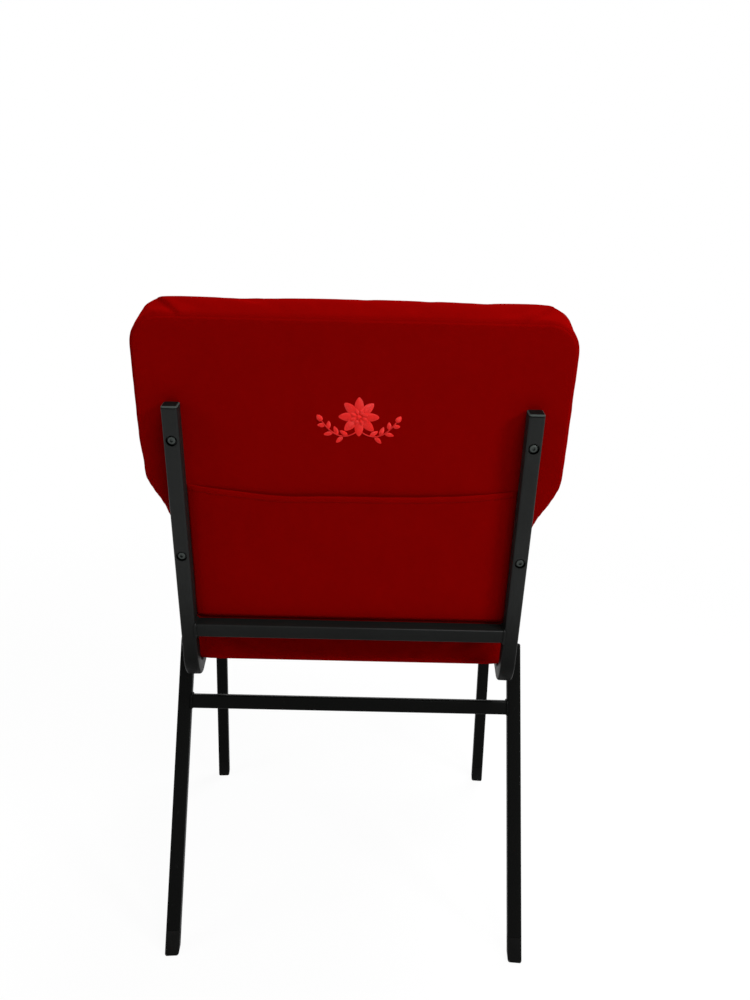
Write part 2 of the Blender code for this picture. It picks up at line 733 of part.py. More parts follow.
def build_tab(name, side, place):
    start, end, half = TUBE / 2 + GAP, TUBE / 2 + GAP + TAB_REACH, TAB_WIDTH / 2
    corners = [Vector((start, -half)), Vector((end, -half)), Vector((end, half)), Vector((start, half))]
    rounded = [point for point, _ in rounded_outline(corners, [TAB_ROUND, TAB_ROUND])]
    hole = circle_points(Vector((start + TAB_HOLE_REACH, 0)), SCREW_SHANK / 2 + PLUG_FIT)
    tab = plate(f"seat_tab_{name}", [[corners[0], *rounded, corners[3]], hole], TAB_THICKNESS, paint,
                seat_plane)
    tab.location = place + Vector((0, 0, (TUBE - TAB_THICKNESS) / 2))
    tab.rotation_euler.z = tab_turn(side)


def build_seat():
    outline = seat_outline()
    inner = COVER + GAP

    rings = edge_rings(SEAT_COVER_TOP, SEAT_BOARD_BOTTOM, SEAT_EDGE_ROUND, 0, SEAT_DRAW_IN)
    mesh = pad_mesh(outline, rings, SEAT_CROWN, seat_upwards, closed=False)
    thickened(add_object("seat_cover", mesh, fabric, seat_plane), COVER)

    rings = edge_rings(SEAT_FOAM_TOP, SEAT_FOAM_BOTTOM, SEAT_EDGE_ROUND - inner, inner, SEAT_DRAW_IN)
    mesh = pad_mesh(outline, rings, SEAT_CROWN, seat_upwards, closed=True)
    add_object("seat_foam", mesh, foam, seat_plane)

    holes = [tab_hole(side, place).to_2d() for _, side, place in tab_places()]
    flipped = [Vector((point.x, -point.y)) for point in inset_outline(outline, inner + SEAT_DRAW_IN)]
    board = plate("seat_board", [whole_loop(flipped)], SEAT_BOARD, plywood, seat_plane)
    board.location.z = (SEAT_BOARD_BOTTOM + SEAT_BOARD_TOP) / 2

    flipped = [Vector((point.x, -point.y)) for point in inset_outline(outline, DUST_COVER_INSET)]
    loops = [whole_loop(flipped)] + [circle_points(hole, SCREW_SHANK / 2 + PLUG_FIT) for hole in holes]
    dust = plate("seat_dust_cover", loops, DUST_COVER, dust_cloth, seat_plane)
    dust.location.z = DUST_COVER_BOTTOM + DUST_COVER / 2

    head_rest = TUBE / 2 - TAB_THICKNESS - GAP
    shank = SEAT_BOARD_TOP - SCREW_SHORT - head_rest
    for name, side, place in tab_places():
        build_tab(name, side, place)
        hole = tab_hole(side, place)
        screw = turned(f"seat_screw_{name}", screw_profile(shank), blackened, seat_plane)
        screw.location = hole + Vector((0, 0, head_rest))
        screw.rotation_euler.x = math.pi

        nut = turned(f"seat_t_nut_{name}", nut_profile(), zinc, seat_plane, hollow=True)
        nut.location = hole + Vector((0, 0, SEAT_BOARD_TOP))

        far = hole + Vector((0, 0, SEAT_COVER_TOP))
        cut_round(board, NUT_BARREL / 2 + GAP, hole, far, seat_plane)
        seat = hole + Vector((0, 0, SEAT_BOARD_TOP - NUT_FLANGE_THICKNESS - GAP))
        cut_round(board, NUT_FLANGE / 2 + GAP, seat, far, seat_plane)


clear_scene()
chair = new_collection("stacking_chair")
cutters = new_collection("cutters")
paint = new_material("black_frame_paint", (0.012, 0.012, 0.013), 0.42)
plastic = new_material("black_plastic", (0.018, 0.018, 0.018), 0.55)
fabric = new_material("red_upholstery", (0.170, 0.002, 0.002), 0.85)
foam = new_material("foam", (0.720, 0.640, 0.420), 0.95)
plywood = new_material("plywood", (0.520, 0.360, 0.200), 0.70)
dust_cloth = new_material("black_dust_cloth", (0.010, 0.010, 0.010), 0.95)
zinc = new_material("zinc_plated_steel", (0.550, 0.550, 0.540), 0.35, 1.0)
blackened = new_material("blackened_steel", (0.070, 0.075, 0.072), 0.40, 1.0)
back_plane = new_plane("back_plane", -RECLINE)
seat_plane = new_plane("seat_plane", -SEAT_PITCH)

for side_name, side_sign in SIDES:
    build_side_frame(side_name, side_sign)
    build_rear_leg(side_name, side_sign)
build_bars()
build_back()
build_pouch()
build_seat()
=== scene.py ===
import math

import bmesh
import bpy
from mathutils import Matrix, Vector, noise


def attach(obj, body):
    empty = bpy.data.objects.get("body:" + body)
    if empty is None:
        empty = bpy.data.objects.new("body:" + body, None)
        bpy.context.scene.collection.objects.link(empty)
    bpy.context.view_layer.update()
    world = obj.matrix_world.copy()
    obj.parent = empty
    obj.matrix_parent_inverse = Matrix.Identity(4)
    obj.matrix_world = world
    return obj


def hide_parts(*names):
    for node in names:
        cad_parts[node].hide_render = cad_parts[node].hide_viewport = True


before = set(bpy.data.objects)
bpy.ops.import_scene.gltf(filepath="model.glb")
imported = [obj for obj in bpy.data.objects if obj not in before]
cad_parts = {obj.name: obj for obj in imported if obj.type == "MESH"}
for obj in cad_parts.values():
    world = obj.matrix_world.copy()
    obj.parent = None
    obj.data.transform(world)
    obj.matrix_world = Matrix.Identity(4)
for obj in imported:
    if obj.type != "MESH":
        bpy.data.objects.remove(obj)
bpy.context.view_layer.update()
scene = bpy.context.scene
scene.view_settings.view_transform = "Standard"

# The chair's measures in metres, as in the CAD: it faces -Y and +X is the sitter's left
chair = {
    "tube": 0.019, "wall": 0.0015, "corner": 0.003, "bend": 0.042, "gap": 0.0003,
    "uprightX": 0.2075, "uprightLength": 0.3765, "recline": math.radians(11.6),
    "railHeight": 0.385, "railLength": 0.373, "frontLegX": 0.2395, "seatPitch": math.radians(2.5),
    "rearLegForward": 0.096, "rearLegRake": math.radians(21.4),
    "crossbarRise": 0.078, "rearStretcherZ": 0.314, "frontStretcherZ": 0.324, "footSkirt": 0.030,
    "backTop": 0.4895, "topFall": 0.0115, "seatRear": 0.028, "seatDepth": 0.390,
}
half = chair["tube"] / 2
across = Vector((1, 0, 0))
upBack = Vector((0, math.sin(chair["recline"]), math.cos(chair["recline"])))
outOfBack = Vector((0, -math.cos(chair["recline"]), math.sin(chair["recline"])))  # towards the sitter
alongSeat = Vector((0, -math.cos(chair["seatPitch"]), math.sin(chair["seatPitch"])))
upSeat = Vector((0, math.sin(chair["seatPitch"]), math.cos(chair["seatPitch"])))
downRearLeg = Vector((0, math.sin(chair["rearLegRake"]), -math.cos(chair["rearLegRake"])))
seatReach = (chair["seatRear"] + chair["seatDepth"]) * math.cos(chair["seatPitch"])
backReach = (chair["backTop"] - chair["topFall"]) * upBack.y + (half + chair["gap"]) * outOfBack.y
crossing = Vector((0, (seatReach - backReach) / 2, chair["railHeight"]))  # of upright and seat rail
upward = Vector((0, 0, 1))
tiny = 1e-6


def axesMatrix(origin, x, y, z):
    matrix = Matrix((x, y, z)).transposed().to_4x4()
    matrix.translation = origin
    return matrix


# Axes of the back, with z from the uprights' fronts, and of the seat, with z from the rails' middles
backPlace = axesMatrix(crossing + outOfBack * half, across, upBack, outOfBack)
seatPlace = axesMatrix(crossing, across, -alongSeat, upSeat)


# Camera
camera = {"lens": 28.8, "shift": 0.00736, "clip": 0.01,
          "place": (-0.0152, 0.9814, 0.4856),  # from the crossing
          "yaw": math.radians(-0.2131), "pitch": math.radians(13.6924), "roll": math.radians(1.3405)}


def addCamera():
    data = bpy.data.cameras.new("camera")
    data.lens = camera["lens"]
    data.shift_x = camera["shift"]
    data.clip_start = camera["clip"]
    obj = bpy.data.objects.new("camera", data)
    turn = Matrix.Rotation(camera["yaw"], 3, "Z")
    right = turn @ -across
    forward = turn @ Vector((0, -math.cos(camera["pitch"]), -math.sin(camera["pitch"])))
    place = crossing + Vector(camera["place"])
    level = axesMatrix(place, right, right.cross(forward), -forward)
    obj.matrix_world = level @ Matrix.Rotation(camera["roll"], 4, "Z")
    scene.collection.objects.link(obj)
    scene.camera = obj


addCamera()
print("camera placed")


# Shader maths
class Wire:
    def __init__(self, tree, socket=None):
        self.tree = tree
        self.socket = socket

    def plug(self, slot, value):
        if isinstance(value, Wire):
            self.tree.links.new(value.socket, slot)
        else:
            slot.default_value = value

    def node(self, kind, settings=None, inputs=None, output=0):
        made = self.tree.nodes.new("ShaderNode" + kind)
        for key, value in (settings or {}).items():
            setattr(made, key, value)
        for key, value in (inputs or {}).items():
            self.plug(made.inputs[key], value)
        return Wire(self.tree, made.outputs[output])

    def math(self, operation, first, second=0.0):
        return self.node("Math", {"operation": operation}, {0: first, 1: second})

    def __add__(self, other):
        return self.math("ADD", self, other)

    def __sub__(self, other):
        return self.math("SUBTRACT", self, other)

    def __rsub__(self, other):
        return self.math("SUBTRACT", other, self)

    def __mul__(self, other):
        return self.math("MULTIPLY", self, other)

    __radd__ = __add__
    __rmul__ = __mul__

    def between(self, low, high):  # 0 below low, 1 above high
        return self.node("MapRange", {"interpolation_type": "SMOOTHSTEP"},
                         {"Value": self, "From Min": low, "From Max": high})

    def ranged(self, base, gain):
        return self * gain + base

    def blend(self, first, second):  # two colours, by this value
        return self.node("Mix", {"data_type": "RGBA"}, {0: self, 6: first, 7: second}, 2)

    def noise(self, scale, detail=2.0, rough=0.5):
        return self.node("TexNoise", None,
                         {"Vector": self, "Scale": scale, "Detail": detail, "Roughness": rough})

    def scaled(self, *factors):
        return self.node("Mapping", None, {"Vector": self, "Scale": factors})


def newFinish(name, fixed):
    material = bpy.data.materials.new(name)
    material.use_nodes = True
    shader = material.node_tree.nodes["Principled BSDF"]
    for key, value in fixed.items():
        shader.inputs[key].default_value = value
    place = Wire(material.node_tree).node("TexCoord", output="Object")
    return material, shader, place


def setFinish(shader, colour, rough, bump, height):
    relief = height.node("Bump", None, {"Strength": bump[0], "Distance": bump[1], "Height": height})
    for key, value in (("Base Color", colour), ("Roughness", rough), ("Normal", relief)):
        height.plug(shader.inputs[key], value)


def rgba(r, g, b):
    return (r, g, b, 1.0)


# Finishes: a noise is scale, detail and roughness, a range is base and gain, a bump is strength and depth
velour = {"deep": rgba(0.132, 0.0004, 0.0003), "full": rgba(0.172, 0.0006, 0.0004),
          "sheen": 0.25, "sheenRough": 0.35, "sheenTint": rgba(1.0, 0.006, 0.004),
          "clouds": (14.0, 3.0, 0.55), "nap": (90.0, 3.0), "napStretch": (1.0, 1.0, 0.25),
          "pile": (1500.0, 2.0), "cloudShare": 0.30, "napShare": 0.40, "pileShare": 0.30,
          "rough": (0.82, 0.14), "pileRise": 0.6, "napRise": 0.4, "bump": (0.25, 0.0006)}


def velourFinish(name):
    spec = velour
    material, shader, place = newFinish(name, {
        "Specular IOR Level": 0.0, "Sheen Weight": spec["sheen"],
        "Sheen Roughness": spec["sheenRough"], "Sheen Tint": spec["sheenTint"]})
    clouds = place.noise(*spec["clouds"])  # pile brushed one way and the other
    nap = place.scaled(*spec["napStretch"]).noise(*spec["nap"])
    pile = place.noise(*spec["pile"])
    mix = clouds * spec["cloudShare"] + nap * spec["napShare"] + pile * spec["pileShare"]
    setFinish(shader, mix.blend(spec["deep"], spec["full"]), pile.ranged(*spec["rough"]), spec["bump"],
              pile * spec["pileRise"] + nap * spec["napRise"])
    return material


# painted light: the frame is paler and more coated above a height along the uprights, standing in for how the
# lamps fall on them; the scuffs near the feet are wear
paint = {"deep": rgba(0.0020, 0.0021, 0.0019), "paintedLitTone": rgba(0.0078, 0.0086, 0.0082),
         "wearAndHighlight": rgba(0.030, 0.031, 0.030), "specular": 0.02, "coatRough": 0.34, "coat": (0.035, 0.20),
         "clouds": (22.0, 2.0), "peel": (750.0, 2.0), "scuffs": (160.0, 5.0, 0.7),
         "scuffStretch": (1.0, 1.0, 0.3), "scuffed": (0.62, 0.74), "kickedBelow": (0.03, 0.20),
         "wear": (0.10, 0.35), "paintedLightFrom": (0.37, 0.56), "patchy": (0.75, 0.5),
         "rough": (0.36, 0.10), "wornRough": 0.25, "wornSink": 0.3, "bump": (0.12, 0.0004)}


def paintFinish(name):
    spec = paint
    material, shader, place = newFinish(name, {
        "Specular IOR Level": spec["specular"], "Coat Roughness": spec["coatRough"]})
    clouds = place.noise(*spec["clouds"])
    scuffs = place.scaled(*spec["scuffStretch"]).noise(*spec["scuffs"])
    height = place.node("SeparateXYZ", None, {0: place}, 2)
    kicked = 1 - height.between(*spec["kickedBelow"])
    worn = scuffs.between(*spec["scuffed"]) * kicked.ranged(*spec["wear"])
    paintedLightAbove = height.between(*spec["paintedLightFrom"]) * clouds.ranged(*spec["patchy"])  # painted light: a paler tone and more coat above this height, standing in for the light on the uprights
    colour = worn.blend(paintedLightAbove.blend(spec["deep"], spec["paintedLitTone"]), spec["wearAndHighlight"])
    place.plug(shader.inputs["Coat Weight"], paintedLightAbove.ranged(*spec["coat"]))
    setFinish(shader, colour, clouds.ranged(*spec["rough"]) + worn * spec["wornRough"], spec["bump"],
              place.noise(*spec["peel"]) - worn * spec["wornSink"])
    return material


# the pale colour for the caps is a painted highlight on their rounded top edges
plastic = {"dark": rgba(0.0018, 0.0018, 0.0017), "pale": rgba(0.0044, 0.0045, 0.0042),
           "wearAndHighlight": rgba(0.038, 0.046, 0.043), "highlightFade": 0.15, "specular": 0.05,
           "grain": (1100.0, 3.0, 0.6), "dust": (45.0, 4.0, 0.65), "dusty": (0.45, 0.75),
           "rough": (0.50, 0.15), "bump": (0.30, 0.0003)}


def plasticFinish(name, wearAndHighlight=None):  # a painted highlight: pale between two levels along the uprights, on the caps' rounded top edges
    spec = plastic
    material, shader, place = newFinish(name, {"Specular IOR Level": spec["specular"]})
    dust = place.noise(*spec["dust"])
    colour = dust.between(*spec["dusty"]).blend(spec["dark"], spec["pale"])
    if wearAndHighlight:
        low, high = wearAndHighlight
        fade = (high - low) * spec["highlightFade"]
        level = place.node("VectorMath", {"operation": "DOT_PRODUCT"}, {0: place, 1: upBack}, "Value")
        rim = level.between(low, low + fade) * (1 - level.between(high - fade, high))
        colour = rim.blend(colour, spec["wearAndHighlight"])
    setFinish(shader, colour, dust.ranged(*spec["rough"]), spec["bump"], place.noise(*spec["grain"]))
    return material


steel = {"blotch": (180.0, 3.0), "fine": (2200.0, 2.0), "uneven": 0.15, "bump": (0.10, 0.0002)}


def steelFinish(name, dark, pale, rough):
    material, shader, place = newFinish(name, {"Metallic": 1.0})
    blotch = place.noise(*steel["blotch"])
    setFinish(shader, blotch.blend(dark, pale), blotch.ranged(rough, steel["uneven"]), steel["bump"],
              place.noise(*steel["fine"]))
    return material


plywood = {"pale": rgba(0.56, 0.39, 0.22), "dark": rgba(0.40, 0.25, 0.12), "specular": 0.25,
           "rings": (60.0, 4.0, 0.6), "ringStretch": (1.0, 0.06, 0.06), "ringed": (0.3, 0.7),
           "pores": (900.0, 2.0), "poreStretch": (1.0, 0.05, 0.05),
           "rough": (0.65, 0.2), "bump": (0.2, 0.0003)}


def plywoodFinish(name):
    spec = plywood
    material, shader, place = newFinish(name, {"Specular IOR Level": spec["specular"]})
    rings = place.scaled(*spec["ringStretch"]).noise(*spec["rings"])
    pores = place.scaled(*spec["poreStretch"]).noise(*spec["pores"])
    setFinish(shader, rings.between(*spec["ringed"]).blend(spec["pale"], spec["dark"]),
              pores.ranged(*spec["rough"]), spec["bump"], pores)
    return material


dustCloth = {"dark": rgba(0.006, 0.006, 0.006), "pale": rgba(0.020, 0.020, 0.021),
             "specular": 0.10, "sheen": 0.1, "fibres": (1300.0, 4.0, 0.7),
             "fibreStretch": (1.0, 0.35, 1.0), "fibreRise": 0.5, "dots": 520.0,
             "rough": (0.80, 0.15), "bump": (0.5, 0.0004)}


def dustClothFinish(name):
    spec = dustCloth
    material, shader, place = newFinish(name, {
        "Specular IOR Level": spec["specular"], "Sheen Weight": spec["sheen"]})
    fibres = place.scaled(*spec["fibreStretch"]).noise(*spec["fibres"])
    dots = place.node("TexVoronoi", None, {"Vector": place, "Scale": spec["dots"]})
    setFinish(shader, fibres.blend(spec["dark"], spec["pale"]), fibres.ranged(*spec["rough"]), spec["bump"],
              fibres * spec["fibreRise"] + dots)
    return material


thread = {"sheenTint": rgba(1.0, 0.02, 0.015), "strands": 420.0, "twist": 0.6, "shade": (260.0, 2.0),
          "strandShare": 0.7, "shadeShare": 0.3, "rough": (0.55, -0.2), "bump": (0.6, 0.0004)}


def threadFinish(name, dull, bright, gloss):
    spec = thread
    material, shader, place = newFinish(name, {
        "Specular IOR Level": gloss, "Sheen Weight": gloss, "Sheen Tint": spec["sheenTint"]})
    lay = place.node("TexCoord", output="UV")
    strands = lay.node("TexWave", {"bands_direction": "X"},
                       {"Vector": lay, "Scale": spec["strands"], "Distortion": spec["twist"]})
    mix = strands * spec["strandShare"] + place.noise(*spec["shade"]) * spec["shadeShare"]
    setFinish(shader, mix.blend(dull, bright), strands.ranged(*spec["rough"]), spec["bump"], strands)
    return material


finishes = {
    "cloth": velourFinish("red velour"),
    "paint": paintFinish("black powder coat"),
    "plastic": plasticFinish("black plastic"),
    "screw": steelFinish("blackened steel", rgba(0.033, 0.038, 0.036), rgba(0.063, 0.071, 0.067), 0.38),
    "zinc": steelFinish("zinc plate", rgba(0.42, 0.43, 0.43), rgba(0.60, 0.60, 0.58), 0.30),
    # painted shade: the crush sleeves' zinc is made near black, standing in for the shade in the screw
    # recesses
    "recessShadeZinc": steelFinish("zinc plate in painted shade", rgba(0.040, 0.041, 0.041), rgba(0.060, 0.060, 0.058), 0.45),
    "plywood": plywoodFinish("plywood"),
    "dustCloth": dustClothFinish("black dust cloth"),
    "seamThread": threadFinish("seam thread", rgba(0.085, 0.0004, 0.0003),
                               rgba(0.135, 0.0006, 0.0004), 0.02),
    "satinThread": threadFinish("satin thread", rgba(0.360, 0.002, 0.0015),
                                rgba(0.880, 0.014, 0.009), 0.20),
}
print("finishes made")


# Pieces
def shadeMesh(mesh, sharp):
    mesh.shade_smooth()
    if sharp:
        mesh.set_sharp_from_angle(angle=math.radians(sharp))
    return mesh


def finishMesh(bm, name, sharp=0):
    mesh = bpy.data.meshes.new(name)
    bm.to_mesh(mesh)
    bm.free()
    return shadeMesh(mesh, sharp)


def addPiece(name, mesh, finish, nodes=()):
    obj = bpy.data.objects.new(name, mesh)
    mesh.materials.clear()
    mesh.materials.append(finishes[finish])
    scene.collection.objects.link(obj)
    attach(obj, "root")
    if nodes:
        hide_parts(*nodes)
    return obj


def scratchObject(mesh):
    obj = bpy.data.objects.new("scratch", mesh)
    scene.collection.objects.link(obj)
    return obj


def bakedMesh(obj, name):  # the mesh with its modifiers applied; the scratch object goes
    graph = bpy.context.evaluated_depsgraph_get()
    mesh = bpy.data.meshes.new_from_object(obj.evaluated_get(graph))
    mesh.name = name
    bpy.data.objects.remove(obj)
    return mesh


def cutAway(obj, cutters, name):
    for cutter in cutters:
        cut = obj.modifiers.new("cut", "BOOLEAN")
        cut.operation = "DIFFERENCE"
        cut.object = cutter
    mesh = bakedMesh(obj, name)
    for cutter in cutters:
        bpy.data.objects.remove(cutter)
    return mesh


def thickSheet(bm, name, thickness):  # cloth of this thickness about the surface
    obj = scratchObject(finishMesh(bm, name))
    thick = obj.modifiers.new("cloth", "SOLIDIFY")
    thick.thickness = thickness
    thick.offset = 0
    return shadeMesh(bakedMesh(obj, name), 0)


def newVerts(geom):
    return [item for item in geom if isinstance(item, bmesh.types.BMVert)]


def newEdges(geom):
    return [item for item in geom if isinstance(item, bmesh.types.BMEdge)]


def edgesOf(verts):
    return list({edge for vert in verts for edge in vert.link_edges})


def allOf(bm):
    return list(bm.verts) + list(bm.edges) + list(bm.faces)


def roundOff(bm, geom, rounding, segments, affect="EDGES"):
    bmesh.ops.bevel(bm, geom=geom, offset=rounding, affect=affect, segments=segments,
                    profile=0.5, material=-1)


def frameAt(origin, along, side):
    along = along.normalized()
    side = (side - along * side.dot(along)).normalized()
    return axesMatrix(origin, side, along.cross(side), along)


def squareRing(bm, size, corner, segments):  # the tube's section, as a ring of edges round the origin
    grid = bmesh.ops.create_grid(bm, x_segments=1, y_segments=1, size=size)
    roundOff(bm, grid["verts"], corner, segments, "VERTICES")
    bmesh.ops.delete(bm, geom=list(bm.faces), context="FACES_ONLY")
    return list(bm.edges)


def sweepRing(bm, edges, frames):
    bmesh.ops.transform(bm, matrix=frames[0], verts=list({v for e in edges for v in e.verts}))
    for before, after in zip(frames, frames[1:]):
        grown = bmesh.ops.extrude_edge_only(bm, edges=edges)["geom"]
        edges = newEdges(grown)
        bmesh.ops.transform(bm, matrix=after @ before.inverted(), verts=newVerts(grown))
    return edges


def sweepRod(bm, segments, frames, joined=False):  # a round rod, closed at its ends or joined in a ring
    made = bmesh.ops.create_circle(bm, segments=segments, radius=1)
    ring = edgesOf(made["verts"])
    last = sweepRing(bm, ring, frames + frames[:1] if joined else frames)
    if not joined:
        bmesh.ops.holes_fill(bm, edges=ring + last, sides=0)


# Tubes of the frame
tubes = {"cornerSegments": 5, "bendSteps": 18, "holeSegments": 48, "sharp": 40}


def hollowTube(name, frames, cuts=(), holes=()):
    bm = bmesh.new()
    sweepRing(bm, squareRing(bm, half, chair["corner"], tubes["cornerSegments"]), frames)
    for point, outward in cuts:
        bmesh.ops.bisect_plane(bm, geom=allOf(bm), plane_co=point, plane_no=outward, clear_outer=True)
    bmesh.ops.recalc_face_normals(bm, faces=bm.faces)
    obj = scratchObject(finishMesh(bm, name))
    shell = obj.modifiers.new("wall", "SOLIDIFY")
    shell.thickness = chair["wall"]
    shell.offset = -1
    cutters = [roundCutter(*hole, tubes["holeSegments"]) for hole in holes]
    return shadeMesh(cutAway(obj, cutters, name), tubes["sharp"])


def roundCutter(start, end, radius, segments):
    bm = bmesh.new()
    axis = end - start
    turn = frameAt((start + end) / 2, axis, across)
    bmesh.ops.create_cone(bm, cap_ends=True, segments=segments, radius1=radius, radius2=radius,
                          depth=axis.length, matrix=turn)
    obj = scratchObject(finishMesh(bm, "cutter"))
    obj.hide_render = True
    return obj


def uprightPoint(side, height):
    return crossing + across * side * chair["uprightX"] + upBack * height


def railPoint(side, forward):
    spread = (chair["frontLegX"] - chair["uprightX"]) * forward / chair["railLength"]
    return crossing + across * side * (chair["uprightX"] + spread) + alongSeat * forward


def frontLegPoint(side, height):
    front = railPoint(side, chair["railLength"])
    return Vector((front.x, front.y, height))


def railOutward(side):
    run = railPoint(side, chair["railLength"]) - railPoint(side, 0)
    return Vector((-run.y, run.x, 0)).normalized() * side


def bentFrames(corners, sides):
    frames = [frameAt(corners[0], corners[1] - corners[0], sides[0])]
    for k in range(1, len(corners) - 1):
        before = (corners[k] - corners[k - 1]).normalized()
        after = (corners[k + 1] - corners[k]).normalized()
        inward = (after - before * before.dot(after)).normalized()
        turn = before.angle(after)
        start = corners[k] - before * chair["bend"] * math.tan(turn / 2)
        centre = start + inward * chair["bend"]
        for step in range(tubes["bendSteps"] + 1):
            share = step / tubes["bendSteps"]
            c, s = math.cos(turn * share), math.sin(turn * share)
            place = centre + (before * s - inward * c) * chair["bend"]
            frames.append(frameAt(place, before * c + inward * s, sides[k - 1].lerp(sides[k], share)))
    frames.append(frameAt(corners[-1], corners[-1] - corners[-2], sides[-1]))
    return frames


backScrews = {"upper": 0.3381, "lower": 0.1871, "sleeveHole": 0.0067, "depth": 0.020}


def screwHole(side, height):
    centre = uprightPoint(side, height)
    return centre, centre - outOfBack * backScrews["depth"], backScrews["sleeveHole"]


def addSideFrame(name, side):
    outward = railOutward(side)
    corners = [uprightPoint(side, chair["uprightLength"]), railPoint(side, 0),
               railPoint(side, chair["railLength"]), frontLegPoint(side, chair["footSkirt"])]
    frames = bentFrames(corners, [across * side, outward, outward])
    holes = [screwHole(side, backScrews[level]) for level in ("upper", "lower")]
    mesh = hollowTube(f"bent_tube_{name}", frames, holes=holes)
    addPiece(f"bent_tube_{name}", mesh, "paint", [f"side_frame_{name}"])


def rearLegFrame(side, height):
    outward = railOutward(side)
    level = railPoint(side, chair["rearLegForward"])
    leg = frameAt(level, downRearLeg, outward)
    reach = sum(abs(leg.col[k].to_3d().dot(outward)) for k in (0, 1)) * half
    drift = abs(outward.y) * math.tan(chair["rearLegRake"]) * half
    leg.translation = level + outward * (half + chair["gap"] + reach + drift)
    leg.translation += downRearLeg * (leg.translation.z - height) / math.cos(chair["rearLegRake"])
    return leg


rearFootLevel = chair["footSkirt"] * math.cos(chair["rearLegRake"])


def rearLegTop(side):
    railTop = railPoint(side, chair["rearLegForward"]).z + half
    return rearLegFrame(side, railTop - half * math.sin(chair["rearLegRake"]))


def addRearLeg(name, side):
    mesh = hollowTube(f"raked_tube_{name}", [rearLegTop(side), rearLegFrame(side, rearFootLevel)])
    addPiece(f"raked_tube_{name}", mesh, "paint", [f"rear_leg_{name}"])


def addBar(name, node, centres, outwards, side):
    reach = half + chair["gap"]
    cuts = [(centre - outward * reach, outward) for centre, outward in zip(centres, outwards)]
    frames = [frameAt(centre, across, side) for centre in reversed(centres)]
    addPiece(name, hollowTube(name, frames, cuts), "paint", [node])


sides = (("left", 1), ("right", -1))
for name, side in sides:
    addSideFrame(name, side)
    addRearLeg(name, side)
rearEnds = [rearLegFrame(side, chair["rearStretcherZ"]) for _, side in sides]
bars = {  # the node, the middles of the ends, the way out through the face that each end meets, and a side
    "crossbar_tube": ("back_crossbar", [uprightPoint(side, chair["crossbarRise"]) for _, side in sides],
                      [across * side for _, side in sides], upBack),
    "rear_stretcher_tube": ("rear_stretcher", [end.translation for end in rearEnds],
                            [end.col[0].to_3d() for end in rearEnds], downRearLeg),
    "front_stretcher_tube": ("front_stretcher",
                             [frontLegPoint(side, chair["frontStretcherZ"]) for _, side in sides],
                             [railOutward(side) for _, side in sides], upward)}
for name, bar in bars.items():
    addBar(name, *bar)
print("frame tubes swept")


# Plain finishes on the CAD nodes that stay as they are
# the crush sleeves take the zinc darkened as painted shade of their recesses
kept = {"plywood": ("back_board", "seat_board"), "zinc": ("t_nut",), "recessShadeZinc": ("crush_sleeve",),
        "paint": ("seat_tab",)}
for node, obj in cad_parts.items():
    for finish, words in kept.items():
        if any(word in node for word in words):
            obj.data.materials.clear()
            obj.data.materials.append(finishes[finish])


# Plastic ends of the tubes
plugs = {"fit": 0.0004, "capHeight": 0.0035, "capRound": 0.0024, "capFlat": 0.05, "capStem": 0.016,
         "footStem": 0.022, "footRound": 0.003, "rim": 0.0007, "rimSegments": 2, "segments": 4}
capTop = crossing.dot(upBack) + chair["uprightLength"] + plugs["capHeight"]
capRim = (capTop - plugs["capRound"], capTop - plugs["capRound"] * plugs["capFlat"])
# painted highlight: a pale band on the caps' rounded top edges, standing in for the lamps' glint
finishes["capPlastic"] = plasticFinish("rubbed plastic", capRim)


def rimAt(bm, level):
    return [e for e in bm.edges if all(abs(v.co.z - level) < tiny for v in e.verts)]


def plugBody(length, stem):  # a head on the tube's end, z out of the tube, and a stem inside it
    bm = bmesh.new()
    ring = squareRing(bm, half, chair["corner"], tubes["cornerSegments"])
    sweepRing(bm, ring, [Matrix.Translation((0, 0, chair["gap"])), Matrix.Translation((0, 0, length))])
    bmesh.ops.holes_fill(bm, edges=bm.edges, sides=0)
    bmesh.ops.recalc_face_normals(bm, faces=bm.faces)
    inner = [face for face in bm.faces if face.normal.z < -0.9]  # the face on the tube's end
    bmesh.ops.inset_region(bm, faces=inner, thickness=chair["wall"] + plugs["fit"])
    grown = bmesh.ops.extrude_face_region(bm, geom=inner)["geom"]
    bmesh.ops.delete(bm, geom=inner, context="FACES")
    bmesh.ops.translate(bm, vec=(0, 0, -stem), verts=newVerts(grown))
    return bm


def addCap(name, node, place, finish):
    bm = plugBody(plugs["capHeight"], plugs["capStem"])
    roundOff(bm, rimAt(bm, plugs["capHeight"]), plugs["capRound"], plugs["segments"])
    bmesh.ops.transform(bm, matrix=place, verts=bm.verts)
    addPiece(name, finishMesh(bm, name, tubes["sharp"]), finish, [node])


def addFoot(name, node, place):
    bm = plugBody(2 * chair["footSkirt"], plugs["footStem"])
    reach = half - chair["corner"] - tiny
    outer = [e for e in rimAt(bm, chair["gap"]) if max(abs(v) for v in e.verts[0].co.xy) > reach]
    roundOff(bm, outer, plugs["rim"], plugs["rimSegments"])
    bmesh.ops.transform(bm, matrix=place, verts=bm.verts)
    bmesh.ops.bisect_plane(bm, geom=allOf(bm), plane_co=(0, 0, 0), plane_no=(0, 0, -1), clear_outer=True)
    bmesh.ops.holes_fill(bm, edges=bm.edges, sides=0)
    bmesh.ops.recalc_face_normals(bm, faces=bm.faces)
    roundOff(bm, rimAt(bm, 0), plugs["footRound"], plugs["segments"])
    addPiece(name, finishMesh(bm, name, tubes["sharp"]), "plastic", [node])


